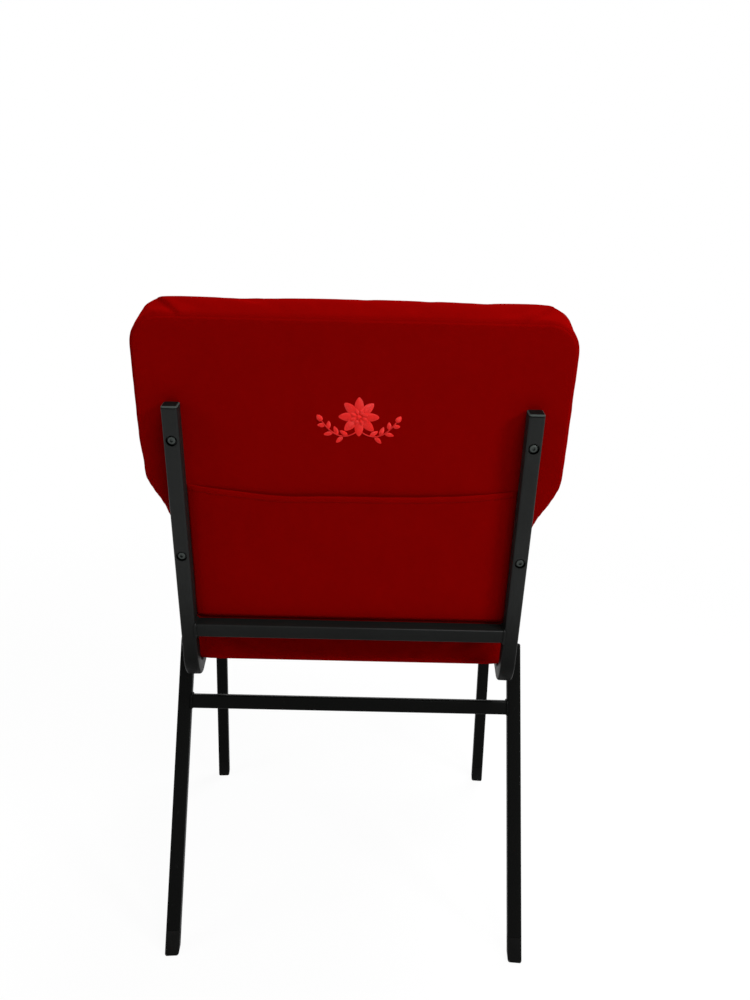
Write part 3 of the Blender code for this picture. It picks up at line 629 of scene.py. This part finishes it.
for name, side in sides:
    top = uprightPoint(side, chair["uprightLength"])
    addCap(f"upright_end_{name}", f"upright_cap_{name}", frameAt(top, upBack, across * side), "capPlastic")
    legTop = rearLegTop(side)
    addCap(f"leg_end_{name}", f"rear_leg_cap_{name}",
           frameAt(legTop.translation, -downRearLeg, legTop.col[0].to_3d()), "plastic")
    addFoot(f"front_foot_end_{name}", f"front_foot_{name}",
            frameAt(frontLegPoint(side, chair["footSkirt"]), -upward, railOutward(side)))
    addFoot(f"rear_foot_end_{name}", f"rear_foot_{name}", rearLegFrame(side, rearFootLevel))
print("tube ends plugged")


# Screws with hexagon sockets
screws = {"shank": 0.003, "head": 0.00525, "height": 0.0036, "rim": 0.0014, "flat": 0.0031, "domeSteps": 5,
          "socket": 0.0022, "socketDepth": 0.0019, "socketSides": 6, "segments": 32, "backRest": 0.0051,
          "backLength": 0.0272, "seatRest": 0.0062, "seatLength": 0.0154, "tabHole": 0.020,
          "tabs": {"rear": 0.120, "front": 0.275}}


def addScrew(name, node, place, length):  # z out of the head, from its underside
    spec = screws
    rise, dome = spec["height"] - spec["rim"], spec["head"] - spec["flat"]
    profile = [(spec["shank"], -length), (spec["shank"], 0), (spec["head"], 0), (spec["head"], spec["rim"])]
    for step in range(1, spec["domeSteps"] + 1):
        turn = math.pi / 2 * step / spec["domeSteps"]
        profile.append((spec["flat"] + dome * math.cos(turn), spec["rim"] + rise * math.sin(turn)))
    frames = [Matrix.Translation((0, 0, level)) @ Matrix.Diagonal((radius, radius, 1, 1))
              for radius, level in profile]
    bm = bmesh.new()
    bmesh.ops.create_circle(bm, segments=spec["segments"], radius=1)
    sweepRing(bm, list(bm.edges), frames)
    bmesh.ops.holes_fill(bm, edges=bm.edges, sides=0)
    bmesh.ops.recalc_face_normals(bm, faces=bm.faces)
    obj = scratchObject(finishMesh(bm, name))
    deep = upward * (spec["height"] - spec["socketDepth"])
    cutter = roundCutter(deep, deep + upward * spec["height"], spec["socket"], spec["socketSides"])
    mesh = cutAway(obj, [cutter], name)
    mesh.transform(place)
    addPiece(name, shadeMesh(mesh, tubes["sharp"]), "screw", [node])


def tabRoot(side, forward, reach):  # in the seat's own axes, at the level of the rails' centre lines
    spread = chair["uprightX"] + (chair["frontLegX"] - chair["uprightX"]) * forward / chair["railLength"]
    inward = -railOutward(side) * (half + chair["gap"] + reach)
    return Vector((side * spread + inward.x, -forward + inward.y, 0))


for name, side in sides:
    for level in ("upper", "lower"):
        rest = uprightPoint(side, backScrews[level]) - outOfBack * screws["backRest"]
        addScrew(f"back_bolt_{level}_{name}", f"back_screw_{level}_{name}",
                 frameAt(rest, -outOfBack, across), screws["backLength"])
    for end, forward in screws["tabs"].items():
        rest = seatPlace @ (tabRoot(side, forward, screws["tabHole"]) + upward * screws["seatRest"])
        addScrew(f"seat_bolt_{end}_{name}", f"seat_screw_{end}_{name}",
                 frameAt(rest, -upSeat, across), screws["seatLength"])
print("screws turned")


# Weld beads
welds = {"radius": 0.0019, "ripple": 0.12, "rippleStep": 2.2, "segments": 8, "round": 64, "square": 8.0,
         "legRun": 0.017, "tabRun": 0.026, "straight": 26, "taper": 4, "tail": 0.08}


def bead(bm, path, joined):
    frames = []
    for k, (point, along) in enumerate(path):
        swell = 1 + welds["ripple"] * math.sin(welds["rippleStep"] * k)
        if not joined:
            swell *= max(1 - abs(2 * k / (len(path) - 1) - 1) ** welds["taper"], welds["tail"])
        side = upBack if abs(along.dot(across)) > 0.5 else across
        frames.append(frameAt(point, along, side) @ Matrix.Scale(welds["radius"] * swell, 4))
    sweepRod(bm, welds["segments"], frames, joined)


def barBead(bm, end, along, outward, y):  # round a bar's end, in the plane of the face it meets
    z = along.cross(y)
    points = []
    for k in range(welds["round"]):
        turn = 2 * math.pi * k / welds["round"]
        c, s = math.cos(turn), math.sin(turn)
        reach = half / (abs(c) ** welds["square"] + abs(s) ** welds["square"]) ** (1 / welds["square"])
        flat = y * c * reach + z * s * reach
        points.append(end + flat - along * flat.dot(outward) / along.dot(outward))
    count = len(points)
    bead(bm, [(points[k], points[(k + 1) % count] - points[k - 1]) for k in range(count)], True)


def straightBead(bm, middle, along, run):
    count = welds["straight"]
    bead(bm, [(middle + along * run * (k / (count - 1) - 0.5), along) for k in range(count)], False)


def addWelds():
    bm = bmesh.new()
    for _, centres, outwards, y in bars.values():
        for centre, outward in zip(centres, outwards):
            inset = across * -half / across.dot(outward)
            barBead(bm, centre + inset, across, outward, y)
    for _, side in sides:
        railSide = rearLegFrame(side, railPoint(side, chair["rearLegForward"]).z)
        inner = railSide.translation - railSide.col[0].to_3d() * half
        for edge in (-half, half):
            straightBead(bm, inner + railSide.col[1].to_3d() * edge, downRearLeg, welds["legRun"])
        for forward in screws["tabs"].values():
            root = tabRoot(side, forward, 0) + upward * screws["seatRest"]
            run = seatPlace.to_3x3() @ railOutward(side).cross(upward)
            straightBead(bm, seatPlace @ root, run, welds["tabRun"])
    bmesh.ops.remove_doubles(bm, verts=bm.verts, dist=tiny)
    bmesh.ops.recalc_face_normals(bm, faces=bm.faces)
    addPiece("weld_beads", finishMesh(bm, "weld_beads"), "paint")


addWelds()
print("joints welded")


# Pads
padding = {"outlineSegments": 12, "edgeSegments": 6, "crownFrom": (0.5, 1.0), "held": (0.002, 0.012),
           "quality": 4, "mass": 0.3, "frames": 20, "smoothing": 0.5, "finer": 1}


def outlineFace(bm, corners, radii):
    verts = [bm.verts.new((x, y, 0)) for x, y in corners]
    turns = []
    for k in range(len(radii)):
        before = verts[k].co - verts[k - 1].co
        after = verts[k + 1].co - verts[k].co
        turns.append(before.angle(after))
    pairs = [(verts[k], verts[-1 - k]) for k in range(len(radii))]
    bm.faces.new(verts)
    for pair, radius, turn in zip(pairs, radii, turns):
        roundOff(bm, pair, radius * math.tan(turn / 2), padding["outlineSegments"], "VERTICES")
    bm.faces.ensure_lookup_table()
    return bm.faces[0]


def slab(corners, radii, low, high, lowRound, highRound):
    bm = bmesh.new()
    face = outlineFace(bm, corners, radii)
    bmesh.ops.translate(bm, vec=(0, 0, low), verts=list(bm.verts))
    grown = bmesh.ops.extrude_face_region(bm, geom=[face])["geom"]
    bmesh.ops.translate(bm, vec=(0, 0, high - low), verts=newVerts(grown))
    openEdges = [edge for edge in bm.edges if edge.is_boundary]
    if openEdges:
        bmesh.ops.holes_fill(bm, edges=openEdges)
    for level, rounding in ((low, lowRound), (high, highRound)):
        if rounding:
            roundOff(bm, rimAt(bm, level), rounding, padding["edgeSegments"])
    bmesh.ops.recalc_face_normals(bm, faces=bm.faces)
    return bm


def cutInGrid(bm, step):  # gives flat faces an even net of points, for soft shapes
    low = Vector([min(vert.co[k] for vert in bm.verts) for k in range(3)])
    high = Vector([max(vert.co[k] for vert in bm.verts) for k in range(3)])
    for axis in (0, 1):
        normal = Vector((0, 0, 0))
        normal[axis] = 1
        count = int((high[axis] - low[axis]) / step)
        for k in range(1, count):
            point = low + normal * (high[axis] - low[axis]) * k / count
            bmesh.ops.bisect_plane(bm, geom=allOf(bm), plane_co=point, plane_no=normal)


def evenMesh(bm, name, voxel):
    obj = scratchObject(finishMesh(bm, name))
    remesh = obj.modifiers.new("even", "REMESH")
    remesh.mode = "VOXEL"
    remesh.voxel_size = voxel
    return bakedMesh(obj, name)


def stuffed(mesh, spec, base):  # swells the pad as stuffed cloth, held at its base
    obj = scratchObject(mesh)
    group = obj.vertex_groups.new(name="held")
    for vert in mesh.vertices:
        weight = 1 - smoothStep(*padding["held"], vert.co.z - base)
        if weight > 0:
            group.add([vert.index], weight, "REPLACE")
    cloth = obj.modifiers.new("cloth", "CLOTH")
    cloth.settings.quality = padding["quality"]
    cloth.settings.mass = padding["mass"]
    cloth.settings.use_pressure = True
    cloth.settings.uniform_pressure_force = spec["pressure"]
    cloth.settings.shrink_min = -spec["slack"]
    cloth.settings.effector_weights.gravity = 0
    cloth.settings.vertex_group_mass = "held"
    cloth.collision_settings.use_collision = False
    cloth.point_cache.frame_start = 1
    cloth.point_cache.frame_end = padding["frames"]
    for step in range(1, padding["frames"] + 1):
        scene.frame_set(step)
    graph = bpy.context.evaluated_depsgraph_get()
    swollen = [vert.co.copy() for vert in obj.evaluated_get(graph).data.vertices]
    obj.modifiers.remove(cloth)
    moves = [place - vert.co for vert, place in zip(mesh.vertices, swollen)]
    for vert, move in zip(mesh.vertices, moves):
        vert.co += move * spec["most"] / (spec["most"] + move.length)  # never more than the most
    print(mesh.name, "swells by up to", round(1000 * max(move.length for move in moves), 1), "mm")
    scene.frame_set(1)
    obj.vertex_groups.clear()
    bm = bmesh.new()
    bm.from_mesh(mesh)
    for _ in range(spec["smooth"]):
        bmesh.ops.smooth_vert(bm, verts=bm.verts, factor=padding["smoothing"],
                              use_axis_x=True, use_axis_y=True, use_axis_z=True)
    bm.to_mesh(mesh)
    bm.free()
    finer = obj.modifiers.new("finer", "SUBSURF")
    finer.levels = finer.render_levels = padding["finer"]
    return bakedMesh(obj, mesh.name)


def smoothStep(low, high, value):
    share = min(max((value - low) / (high - low), 0.0), 1.0)
    return share * share * (3 - 2 * share)


def bell(value, middle, width):
    return math.exp(-((value - middle) / width) ** 2)


backPad = {"wing": 0.2537, "waist": 0.222, "bottom": 0.074, "top": 0.4905, "taperMiddle": 0.258,
           "taperAngle": math.radians(30), "bottomRound": 0.022, "waistRound": 0.080, "wingRound": 0.040,
           "topRound": 0.040, "rear": 0.0014, "front": 0.0607, "rearEdge": 0.0015, "edge": 0.015,
           "drawIn": 0.0012, "crown": 0.006, "fall": 0.0103, "topCrown": 0.0060, "sideFrom": (0.08, 0.20),
           "lowWing": 0.0075, "lowWidth": 0.03, "leftDraw": 0.0024, "leftDrawAt": 0.300,
           "leftDrawWidth": 0.022, "voxel": 0.0047, "pressure": 1.5, "slack": 0.01, "most": 0.006,
           "smooth": 1, "shy": 0.0006,
           "pleatX": 0.192, "pleatLean": 0.70, "pleatRise": 0.0013, "pleatDip": 0.0011,
           "pleatIn": (-0.016, -0.001), "pleatOut": (0.002, 0.014), "pleatTop": (-0.034, -0.018),
           "pleatDepth": (0.040, 0.056)}


def backCorners(inset):
    spec = backPad
    taper = (spec["wing"] - spec["waist"]) / 2 / math.tan(spec["taperAngle"])
    wing, waist = spec["wing"] - inset, spec["waist"] - inset
    low, high = spec["bottom"] + inset, spec["top"] - inset
    rightSide = [(waist, low), (waist, spec["taperMiddle"] - taper),
                 (wing, spec["taperMiddle"] + taper), (wing, high)]
    return rightSide + [(-x, y) for x, y in reversed(rightSide)]


def backRadii(inset):
    return [backPad[key] - inset for key in ("bottomRound", "waistRound", "wingRound", "topRound")]


def drawnBack(co):  # the outline is smaller at the rear, and the top slopes down to it
    spec = backPad
    depth = 1 - co.z / spec["front"]
    high = max(co.y - spec["taperMiddle"], 0) / (spec["top"] - spec["taperMiddle"])
    crown = spec["topCrown"] * high ** 2 * (1 - depth) * (1 - (co.x / spec["wing"]) ** 2)
    low = spec["lowWing"] * bell(co.y, spec["taperMiddle"], spec["lowWidth"])
    low *= smoothStep(*spec["sideFrom"], -co.x)
    pull = spec["leftDraw"] * bell(co.y, spec["leftDrawAt"], spec["leftDrawWidth"])
    pull *= smoothStep(*spec["sideFrom"], co.x)
    x = co.x * (1 - depth * spec["drawIn"] / spec["wing"]) - pull
    return Vector((x, co.y - spec["fall"] * high * depth + crown - low, co.z))


def pleated(co):  # a fold of spare cloth near each end of the top
    spec = backPad
    off = abs(co.x) - spec["pleatX"] - spec["pleatLean"] * co.z
    if off < 0:
        fold = spec["pleatRise"] * smoothStep(*spec["pleatIn"], off)
    else:
        fold = -spec["pleatDip"] * (1 - smoothStep(*spec["pleatOut"], off))
    fold *= smoothStep(*spec["pleatTop"], co.y - spec["top"])
    return co + Vector((0, fold * (1 - smoothStep(*spec["pleatDepth"], co.z)), 0))


def addBackPad():
    spec = backPad
    shy = spec["shy"]
    bm = slab(backCorners(shy), backRadii(shy), spec["rear"], spec["front"] - shy,
              spec["rearEdge"], spec["edge"])
    mesh = evenMesh(bm, "back_pad", spec["voxel"])
    depth = spec["front"] - spec["rear"]
    for vert in mesh.vertices:
        share = vert.co.x / spec["wing"]
        height = 2 * (vert.co.y - spec["bottom"]) / (spec["top"] - spec["bottom"]) - 1
        forward = (vert.co.z - spec["rear"]) / depth
        crown = max(1 - share ** 2, 0) * max(1 - height ** 2, 0)
        vert.co = drawnBack(vert.co)
        vert.co.z += spec["crown"] * crown * smoothStep(*padding["crownFrom"], forward)
    mesh = stuffed(mesh, spec, spec["rear"])
    for vert in mesh.vertices:
        vert.co = pleated(vert.co)
    mesh.transform(backPlace)
    mesh.shade_smooth()
    pad = addPiece("back_pad", mesh, "cloth", ["back_cover", "back_foam"])


addBackPad()
print("back pad stuffed")


rearPanel = {"rear": 0.0003, "front": 0.0046, "inset": 0.0045, "edge": 0.0020, "net": 0.008, "waver": 0.0003,
             "waverScale": 28.0}


def addRearPanel():
    spec = rearPanel
    inset = spec["inset"]
    bm = slab(backCorners(inset), backRadii(inset), spec["rear"], spec["front"], spec["edge"], 0)
    cutInGrid(bm, spec["net"])
    for vert in bm.verts:
        vert.co = drawnBack(vert.co)
        vert.co.z += spec["waver"] * noise.noise(vert.co * spec["waverScale"])
    bmesh.ops.transform(bm, matrix=backPlace, verts=bm.verts)
    mesh = finishMesh(bm, "rear_panel")
    panel = addPiece("rear_panel", mesh, "cloth", ["back_rear_panel"])


addRearPanel()
print("rear panel upholstered")


# Book pouch, sewn to the rear panel along its sides and foot
pouch = {"half": 0.2000, "foot": 0.0905, "hem": 0.2755, "sag": 0.0105, "dip": 0.0023, "dipAt": 0.42,
         "dipWidth": 0.22, "lift": 0.0015, "bulge": 0.0040, "seam": 0.94, "sunk": 0.0004,
         "cloth": 0.0007, "roll": 0.0010, "turnIn": 0.009, "columns": 96, "bodyRows": 40, "rollRows": 4,
         "turnRows": 4, "waver": 0.0006, "waverScale": 22.0, "waverStretch": (0.4, 0.15), "waverFree": 4,
         "stitchDrop": 0.0058, "stitch": 0.0026, "stitchPitch": 0.0036, "thread": 0.0004, "threadSides": 6,
         "threadShape": ((0, 0.25), (0.18, 0.85), (0.5, 1), (0.82, 0.85), (1, 0.25))}


def pouchTop(share):
    dip = pouch["dip"] * bell(share, pouch["dipAt"], pouch["dipWidth"])  # it hangs lower on the left
    return pouch["hem"] - pouch["sag"] * (1 - abs(share) ** 3) - dip


def pouchLift(share, up):  # of the cloth off the panel, at a share of the half width and of the height
    loose = (1 - share ** 2) * up
    wide, tall = pouch["waverStretch"]
    waver = noise.noise(Vector((share * wide, up * tall, 0)) * pouch["waverScale"]) * pouch["waver"]
    full = pouch["lift"] + pouch["bulge"] * loose * up + waver * min(pouch["waverFree"] * loose, 1)
    flat = smoothStep(pouch["seam"], 1.0, abs(share))  # into the side seams
    return full - (full + pouch["sunk"]) * flat


def pouchPoint(share, row):
    spec = pouch
    top = pouchTop(share)
    turned = row - spec["bodyRows"]
    if turned <= 0:
        up = row / spec["bodyRows"]
        return Vector((share * spec["half"], spec["foot"] + up * (top - spec["foot"]), -pouchLift(share, up)))
    if turned <= spec["rollRows"]:
        turn = math.pi * turned / spec["rollRows"]
        return Vector((share * spec["half"], top + spec["roll"] * math.sin(turn),
                       -pouchLift(share, 1) + spec["roll"] * (1 - math.cos(turn))))
    down = spec["turnIn"] * (turned - spec["rollRows"]) / spec["turnRows"]
    up = 1 - down / (top - spec["foot"])
    return Vector((share * spec["half"], top - down, -pouchLift(share, up) + 2 * spec["roll"]))


def addPouch():
    spec = pouch
    rows = spec["bodyRows"] + spec["rollRows"] + spec["turnRows"]
    bm = bmesh.new()
    bmesh.ops.create_grid(bm, x_segments=spec["columns"], y_segments=rows, size=1)
    for vert in bm.verts:
        vert.co = pouchPoint(vert.co.x, (vert.co.y + 1) / 2 * rows)
    bmesh.ops.transform(bm, matrix=backPlace, verts=bm.verts)
    mesh = thickSheet(bm, "pouch", spec["cloth"])
    piece = addPiece("pouch", mesh, "cloth", ["book_pouch"])


def stitchRow(bm, points, outward):  # one short rounded thread from each point to the next
    for start, end in zip(points[0::2], points[1::2]):
        axis = end - start
        frames = [frameAt(start + axis * share, axis, outward) @ Matrix.Scale(pouch["thread"] * swell, 4)
                  for share, swell in pouch["threadShape"]]
        sweepRod(bm, pouch["threadSides"], frames)


def addPouchStitches():
    spec = pouch
    bm = bmesh.new()
    points = []
    count = int(2 * spec["half"] / spec["stitchPitch"])
    for k in range(count):
        for end in (0, spec["stitch"]):
            share = ((k + 0.5) * spec["stitchPitch"] + end - spec["half"]) / spec["half"]
            top = pouchTop(share)
            up = 1 - spec["stitchDrop"] / (top - spec["foot"])
            out = pouchLift(share, up) + spec["cloth"] / 2
            points.append(backPlace @ Vector((share * spec["half"], top - spec["stitchDrop"], -out)))
    stitchRow(bm, points, -outOfBack)
    bmesh.ops.recalc_face_normals(bm, faces=bm.faces)
    addPiece("pouch_stitches", finishMesh(bm, "pouch_stitches"), "seamThread")


addPouch()
addPouchStitches()
print("pouch sewn on")


seatPad = {"rearHalf": 0.215, "frontHalf": 0.2435, "rear": 0.028, "front": 0.418, "rearRound": 0.026,
           "frontRound": 0.055, "low": 0.0104, "high": 0.0587, "lowEdge": 0.0015, "fold": 0.014,
           "foldHeight": 0.018, "settle": 0.0008, "hemIn": (0.003, 0.011), "hemHeight": 0.008, "edge": 0.020,
           "crown": 0.012, "voxel": 0.0048, "pressure": 1.5, "slack": 0.02, "most": 0.007, "smooth": 1,
           "shy": 0.0004}


def seatCorners(inset):
    right = [(seatPad["frontHalf"] - inset, -seatPad["front"] + inset),
             (seatPad["rearHalf"] - inset, -seatPad["rear"] - inset)]
    return right + [(-x, y) for x, y in reversed(right)]


def seatInset(co):  # how far inside the seat's outline
    spec = seatPad
    back = (co.y + spec["front"]) / (spec["front"] - spec["rear"])
    width = spec["frontHalf"] + (spec["rearHalf"] - spec["frontHalf"]) * back
    return min(width - abs(co.x), co.y + spec["front"], -co.y - spec["rear"])


def seatRadii(inset):
    return [seatPad["frontRound"] - inset, seatPad["rearRound"] - inset]


def addSeatPad():
    spec = seatPad
    shy = spec["shy"]
    bm = slab(seatCorners(shy), seatRadii(shy), spec["low"], spec["high"] - shy,
              spec["lowEdge"], spec["edge"])
    mesh = evenMesh(bm, "seat_pad", spec["voxel"])
    depth = spec["high"] - spec["low"]
    middle = (spec["rear"] + spec["front"]) / 2
    for vert in mesh.vertices:
        share = vert.co.x / spec["frontHalf"]
        along = (-vert.co.y - middle) / (spec["front"] - middle)
        rise = smoothStep(*padding["crownFrom"], (vert.co.z - spec["low"]) / depth)
        vert.co.z += spec["crown"] * max(1 - share ** 2, 0) * max(1 - along ** 2, 0) * rise
    mesh = stuffed(mesh, spec, spec["low"])
    for vert in mesh.vertices:  # the cloth is folded hard round the board's lower edge
        height = vert.co.z - spec["low"]
        spread = 1 + spec["fold"] * (1 - smoothStep(0.0, spec["foldHeight"], height))
        vert.co.x *= spread
        vert.co.y = (vert.co.y + middle) * spread - middle
        hem = 1 - smoothStep(*spec["hemIn"], seatInset(vert.co))
        vert.co.z -= spec["settle"] * hem * (1 - smoothStep(0.0, spec["hemHeight"], height))
    mesh.transform(seatPlace)
    mesh.shade_smooth()
    pad = addPiece("seat_pad", mesh, "cloth", ["seat_cover", "seat_foam"])


addSeatPad()
print("seat pad stuffed")


# Dust sheet stapled under the seat
dustSheet = {"inset": 0.012, "level": 0.0100, "cloth": 0.0003, "net": 0.010, "sag": 0.0016, "clear": 0.075,
             "waver": 0.0002, "waverScale": 40.0, "stapleInset": 0.016, "staplePitch": 0.027, "crown": 0.009,
             "wire": 0.0006, "wireEdge": 0.00015}


def dustLevel(co):  # hangs a little, away from the tabs and the edges
    spec = dustSheet
    waver = spec["waver"] * noise.noise(co * spec["waverScale"])
    return spec["level"] - (spec["sag"] + waver) * smoothStep(spec["inset"], spec["clear"], seatInset(co))


def addDustSheet():
    spec = dustSheet
    bm = bmesh.new()
    outlineFace(bm, seatCorners(spec["inset"]), seatRadii(spec["inset"]))
    cutInGrid(bm, spec["net"])
    for vert in bm.verts:
        vert.co.z = dustLevel(vert.co)
    area = sum(face.calc_area() for face in bm.faces)
    bmesh.ops.transform(bm, matrix=seatPlace, verts=bm.verts)
    mesh = thickSheet(bm, "dust_sheet", spec["cloth"])
    piece = addPiece("dust_sheet", mesh, "dustCloth", ["seat_dust_cover"])


def outlineWalk(corners, radii, step):  # points and directions along a rounded outline
    bm = bmesh.new()
    rim = [vert.co.copy() for vert in outlineFace(bm, corners, radii).verts]
    bm.free()
    walked, due = [], 0.0
    for start, end in zip(rim, rim[1:] + rim[:1]):
        run = (end - start).length
        while due < run:
            walked.append((start.lerp(end, due / run), (end - start).normalized()))
            due += step
        due -= run
    return walked


def addStaples():
    spec = dustSheet
    inset = spec["stapleInset"]
    staple = Matrix.Diagonal((spec["crown"], spec["wire"], spec["wire"], 1))
    bm = bmesh.new()
    for point, along in outlineWalk(seatCorners(inset), seatRadii(inset), spec["staplePitch"]):
        point.z = dustLevel(point) - spec["cloth"] / 2
        place = seatPlace @ frameAt(point, upward, along)
        made = bmesh.ops.create_cube(bm, size=1, matrix=place @ staple)
        roundOff(bm, edgesOf(made["verts"]), spec["wireEdge"], 1)
    bmesh.ops.recalc_face_normals(bm, faces=bm.faces)
    addPiece("dust_sheet_staples", finishMesh(bm, "dust_sheet_staples"), "zinc")


addDustSheet()
addStaples()
print("dust sheet stapled")


# A flower with two leafy sprigs, sewn in satin stitch on the rear panel
flower = {"x": -0.0065, "height": 0.3655, "level": 0.0001, "petals": 8, "outer": (0.0050, 0.0200, 0.0118),
          "inner": (0.0024, 0.0098, 0.0062), "lift": 0.0011, "innerLift": 0.0019, "sink": 0.0005,
          "heart": 0.0034, "heartLift": 1.2, "net": (14, 6), "lean": 0.8, "blunt": 0.7, "merge": 1e-7,
          "stem": ((0.0040, -0.0190), (0.0240, -0.0330), (0.0430, -0.0060)), "stemWidth": 0.0008,
          "stemSteps": 24, "stemSides": 8, "leafWidth": 0.0062, "leafTurn": math.radians(48),
          "leaves": ((0.22, 1, 0.0120), (0.36, -1, 0.0125), (0.52, 1, 0.0125), (0.66, -1, 0.0120),
                     (0.80, 1, 0.0105), (0.90, -1, 0.0095)), "bud": (0.0100, 0.0074)}


def satinLeaf(bm, place, length, width, lift):  # stitched across its length
    layer = bm.loops.layers.uv.verify()
    columns, rows = flower["net"]
    made = bmesh.ops.create_grid(bm, x_segments=columns, y_segments=rows, size=1)
    faces = {face for vert in made["verts"] for face in vert.link_faces}
    for face in faces:
        for loop in face.loops:
            loop[layer].uv = (loop.vert.co.x * length / 2, loop.vert.co.y * width / 2)
    for vert in made["verts"]:
        along, side = (vert.co.x + 1) / 2, vert.co.y
        full = math.sin(math.pi * along ** flower["lean"]) ** flower["blunt"] if 0 < along < 1 else 0.0
        rise = lift * full * (1 - side ** 2) ** 0.5 if abs(side) < 1 else 0.0
        vert.co = place @ Vector((along * length, side * width / 2 * full, rise - flower["sink"]))


def sprigPoint(side, share):  # along the curved stem, with its direction
    start, middle, end = [Vector((side * x, y, 0)) for x, y in flower["stem"]]
    place = start.lerp(middle, share).lerp(middle.lerp(end, share), share)
    return place, (middle.lerp(end, share) - start.lerp(middle, share)).normalized()


def addFlower():
    spec = flower
    centre = Vector((spec["x"], spec["height"], spec["level"]))
    ground = backPlace @ axesMatrix(centre, Vector((-1, 0, 0)), Vector((0, 1, 0)), Vector((0, 0, -1)))
    bm = bmesh.new()
    for ring, (start, length, width) in enumerate((spec["outer"], spec["inner"])):
        for k in range(spec["petals"]):
            turn = Matrix.Rotation(2 * math.pi * (k + ring / 2) / spec["petals"], 4, "Z")
            lift = spec["innerLift"] if ring else spec["lift"]
            satinLeaf(bm, ground @ turn @ Matrix.Translation((start, 0, 0)), length, width, lift)
    heart = spec["heart"]
    lift = spec["innerLift"] * spec["heartLift"]
    satinLeaf(bm, ground @ Matrix.Translation((-heart, 0, 0)), 2 * heart, 2 * heart, lift)
    for side in (1, -1):
        stem = [sprigPoint(side, k / spec["stemSteps"]) for k in range(spec["stemSteps"] + 1)]
        width = Matrix.Scale(spec["stemWidth"], 4)
        sweepRod(bm, spec["stemSides"],
                 [ground @ frameAt(point, along, upward) @ width for point, along in stem])
        for share, hand, length in spec["leaves"]:
            point, along = sprigPoint(side, share)
            turn = Matrix.Rotation(math.atan2(along.y, along.x) + side * hand * spec["leafTurn"], 4, "Z")
            satinLeaf(bm, ground @ Matrix.Translation(point) @ turn, length, spec["leafWidth"], spec["lift"])
        point, along = stem[-1]
        turn = Matrix.Rotation(math.atan2(along.y, along.x), 4, "Z")
        satinLeaf(bm, ground @ Matrix.Translation(point) @ turn, *spec["bud"], spec["innerLift"])
    bmesh.ops.remove_doubles(bm, verts=bm.verts, dist=spec["merge"])
    addPiece("sewn_flower", finishMesh(bm, "sewn_flower"), "satinThread")


addFlower()
print("flower sewn")


# Floor, backdrop and light
stage = {"size": 12, "drop": 0.0005, "floor": rgba(0.90, 0.90, 0.90), "glow": 0.94, "ambient": 0.12,
         "fade": (0.8, 2.2), "lampAim": (0, 0.15, 0.55)}


def seenRays(start):
    seen = [start.node("LightPath", output=ray)
            for ray in ("Is Camera Ray", "Is Glossy Ray", "Is Transmission Ray")]
    return seen[0].math("MAXIMUM", seen[0], seen[1].math("MAXIMUM", seen[1], seen[2]))


def addStage():
    bm = bmesh.new()
    bmesh.ops.create_grid(bm, x_segments=2, y_segments=2, size=stage["size"])
    bmesh.ops.translate(bm, vec=(0, 0, -stage["drop"]), verts=bm.verts)
    floor = scratchObject(finishMesh(bm, "floor"))
    floor.name = "floor"
    material = bpy.data.materials.new("pale floor")
    material.use_nodes = True
    tree = material.node_tree
    tree.nodes.clear()
    start = Wire(tree)
    place = start.node("TexCoord", output="Object")
    away = place.node("VectorMath", {"operation": "LENGTH"}, {0: place}, "Value").between(*stage["fade"])
    matt = start.node("BsdfDiffuse", None, {"Color": stage["floor"]})
    glow = start.node("Emission", None, {"Color": rgba(1, 1, 1), "Strength": 1.0})
    share = seenRays(start) * (stage["glow"] + (1 - stage["glow"]) * away)
    mixed = start.node("MixShader", None, {0: share, 1: matt, 2: glow})
    out = tree.nodes.new("ShaderNodeOutputMaterial")
    tree.links.new(mixed.socket, out.inputs["Surface"])
    floor.data.materials.append(material)

    world = bpy.data.worlds.new("studio")
    world.use_nodes = True
    scene.world = world
    background = world.node_tree.nodes["Background"]
    start = Wire(world.node_tree)
    background.inputs["Color"].default_value = rgba(1, 1, 1)
    start.plug(background.inputs["Strength"], stage["ambient"] + (1 - stage["ambient"]) * seenRays(start))


lamps = {"right": {"place": (-1.75, 1.5, 1.65), "size": 0.6, "power": 31},
         "left": {"place": (1.9, 0.9, 1.6), "size": 1.0, "power": 14},
         "top": {"place": (-0.7, 1.5, 2.7), "size": 1.1, "power": 48},
         "front": {"place": (-0.9, -1.2, 2.5), "size": 1.3, "power": 48}}


def addLamps():
    for name, spec in lamps.items():
        data = bpy.data.lights.new(name, "AREA")
        data.shape = "DISK"
        data.size = spec["size"]
        data.energy = spec["power"]
        lamp = bpy.data.objects.new(name, data)
        lamp.location = spec["place"]
        aim = Vector(stage["lampAim"]) - lamp.location
        lamp.rotation_euler = aim.to_track_quat("-Z", "Y").to_euler()
        scene.collection.objects.link(lamp)


addStage()
addLamps()
print("stage lit")
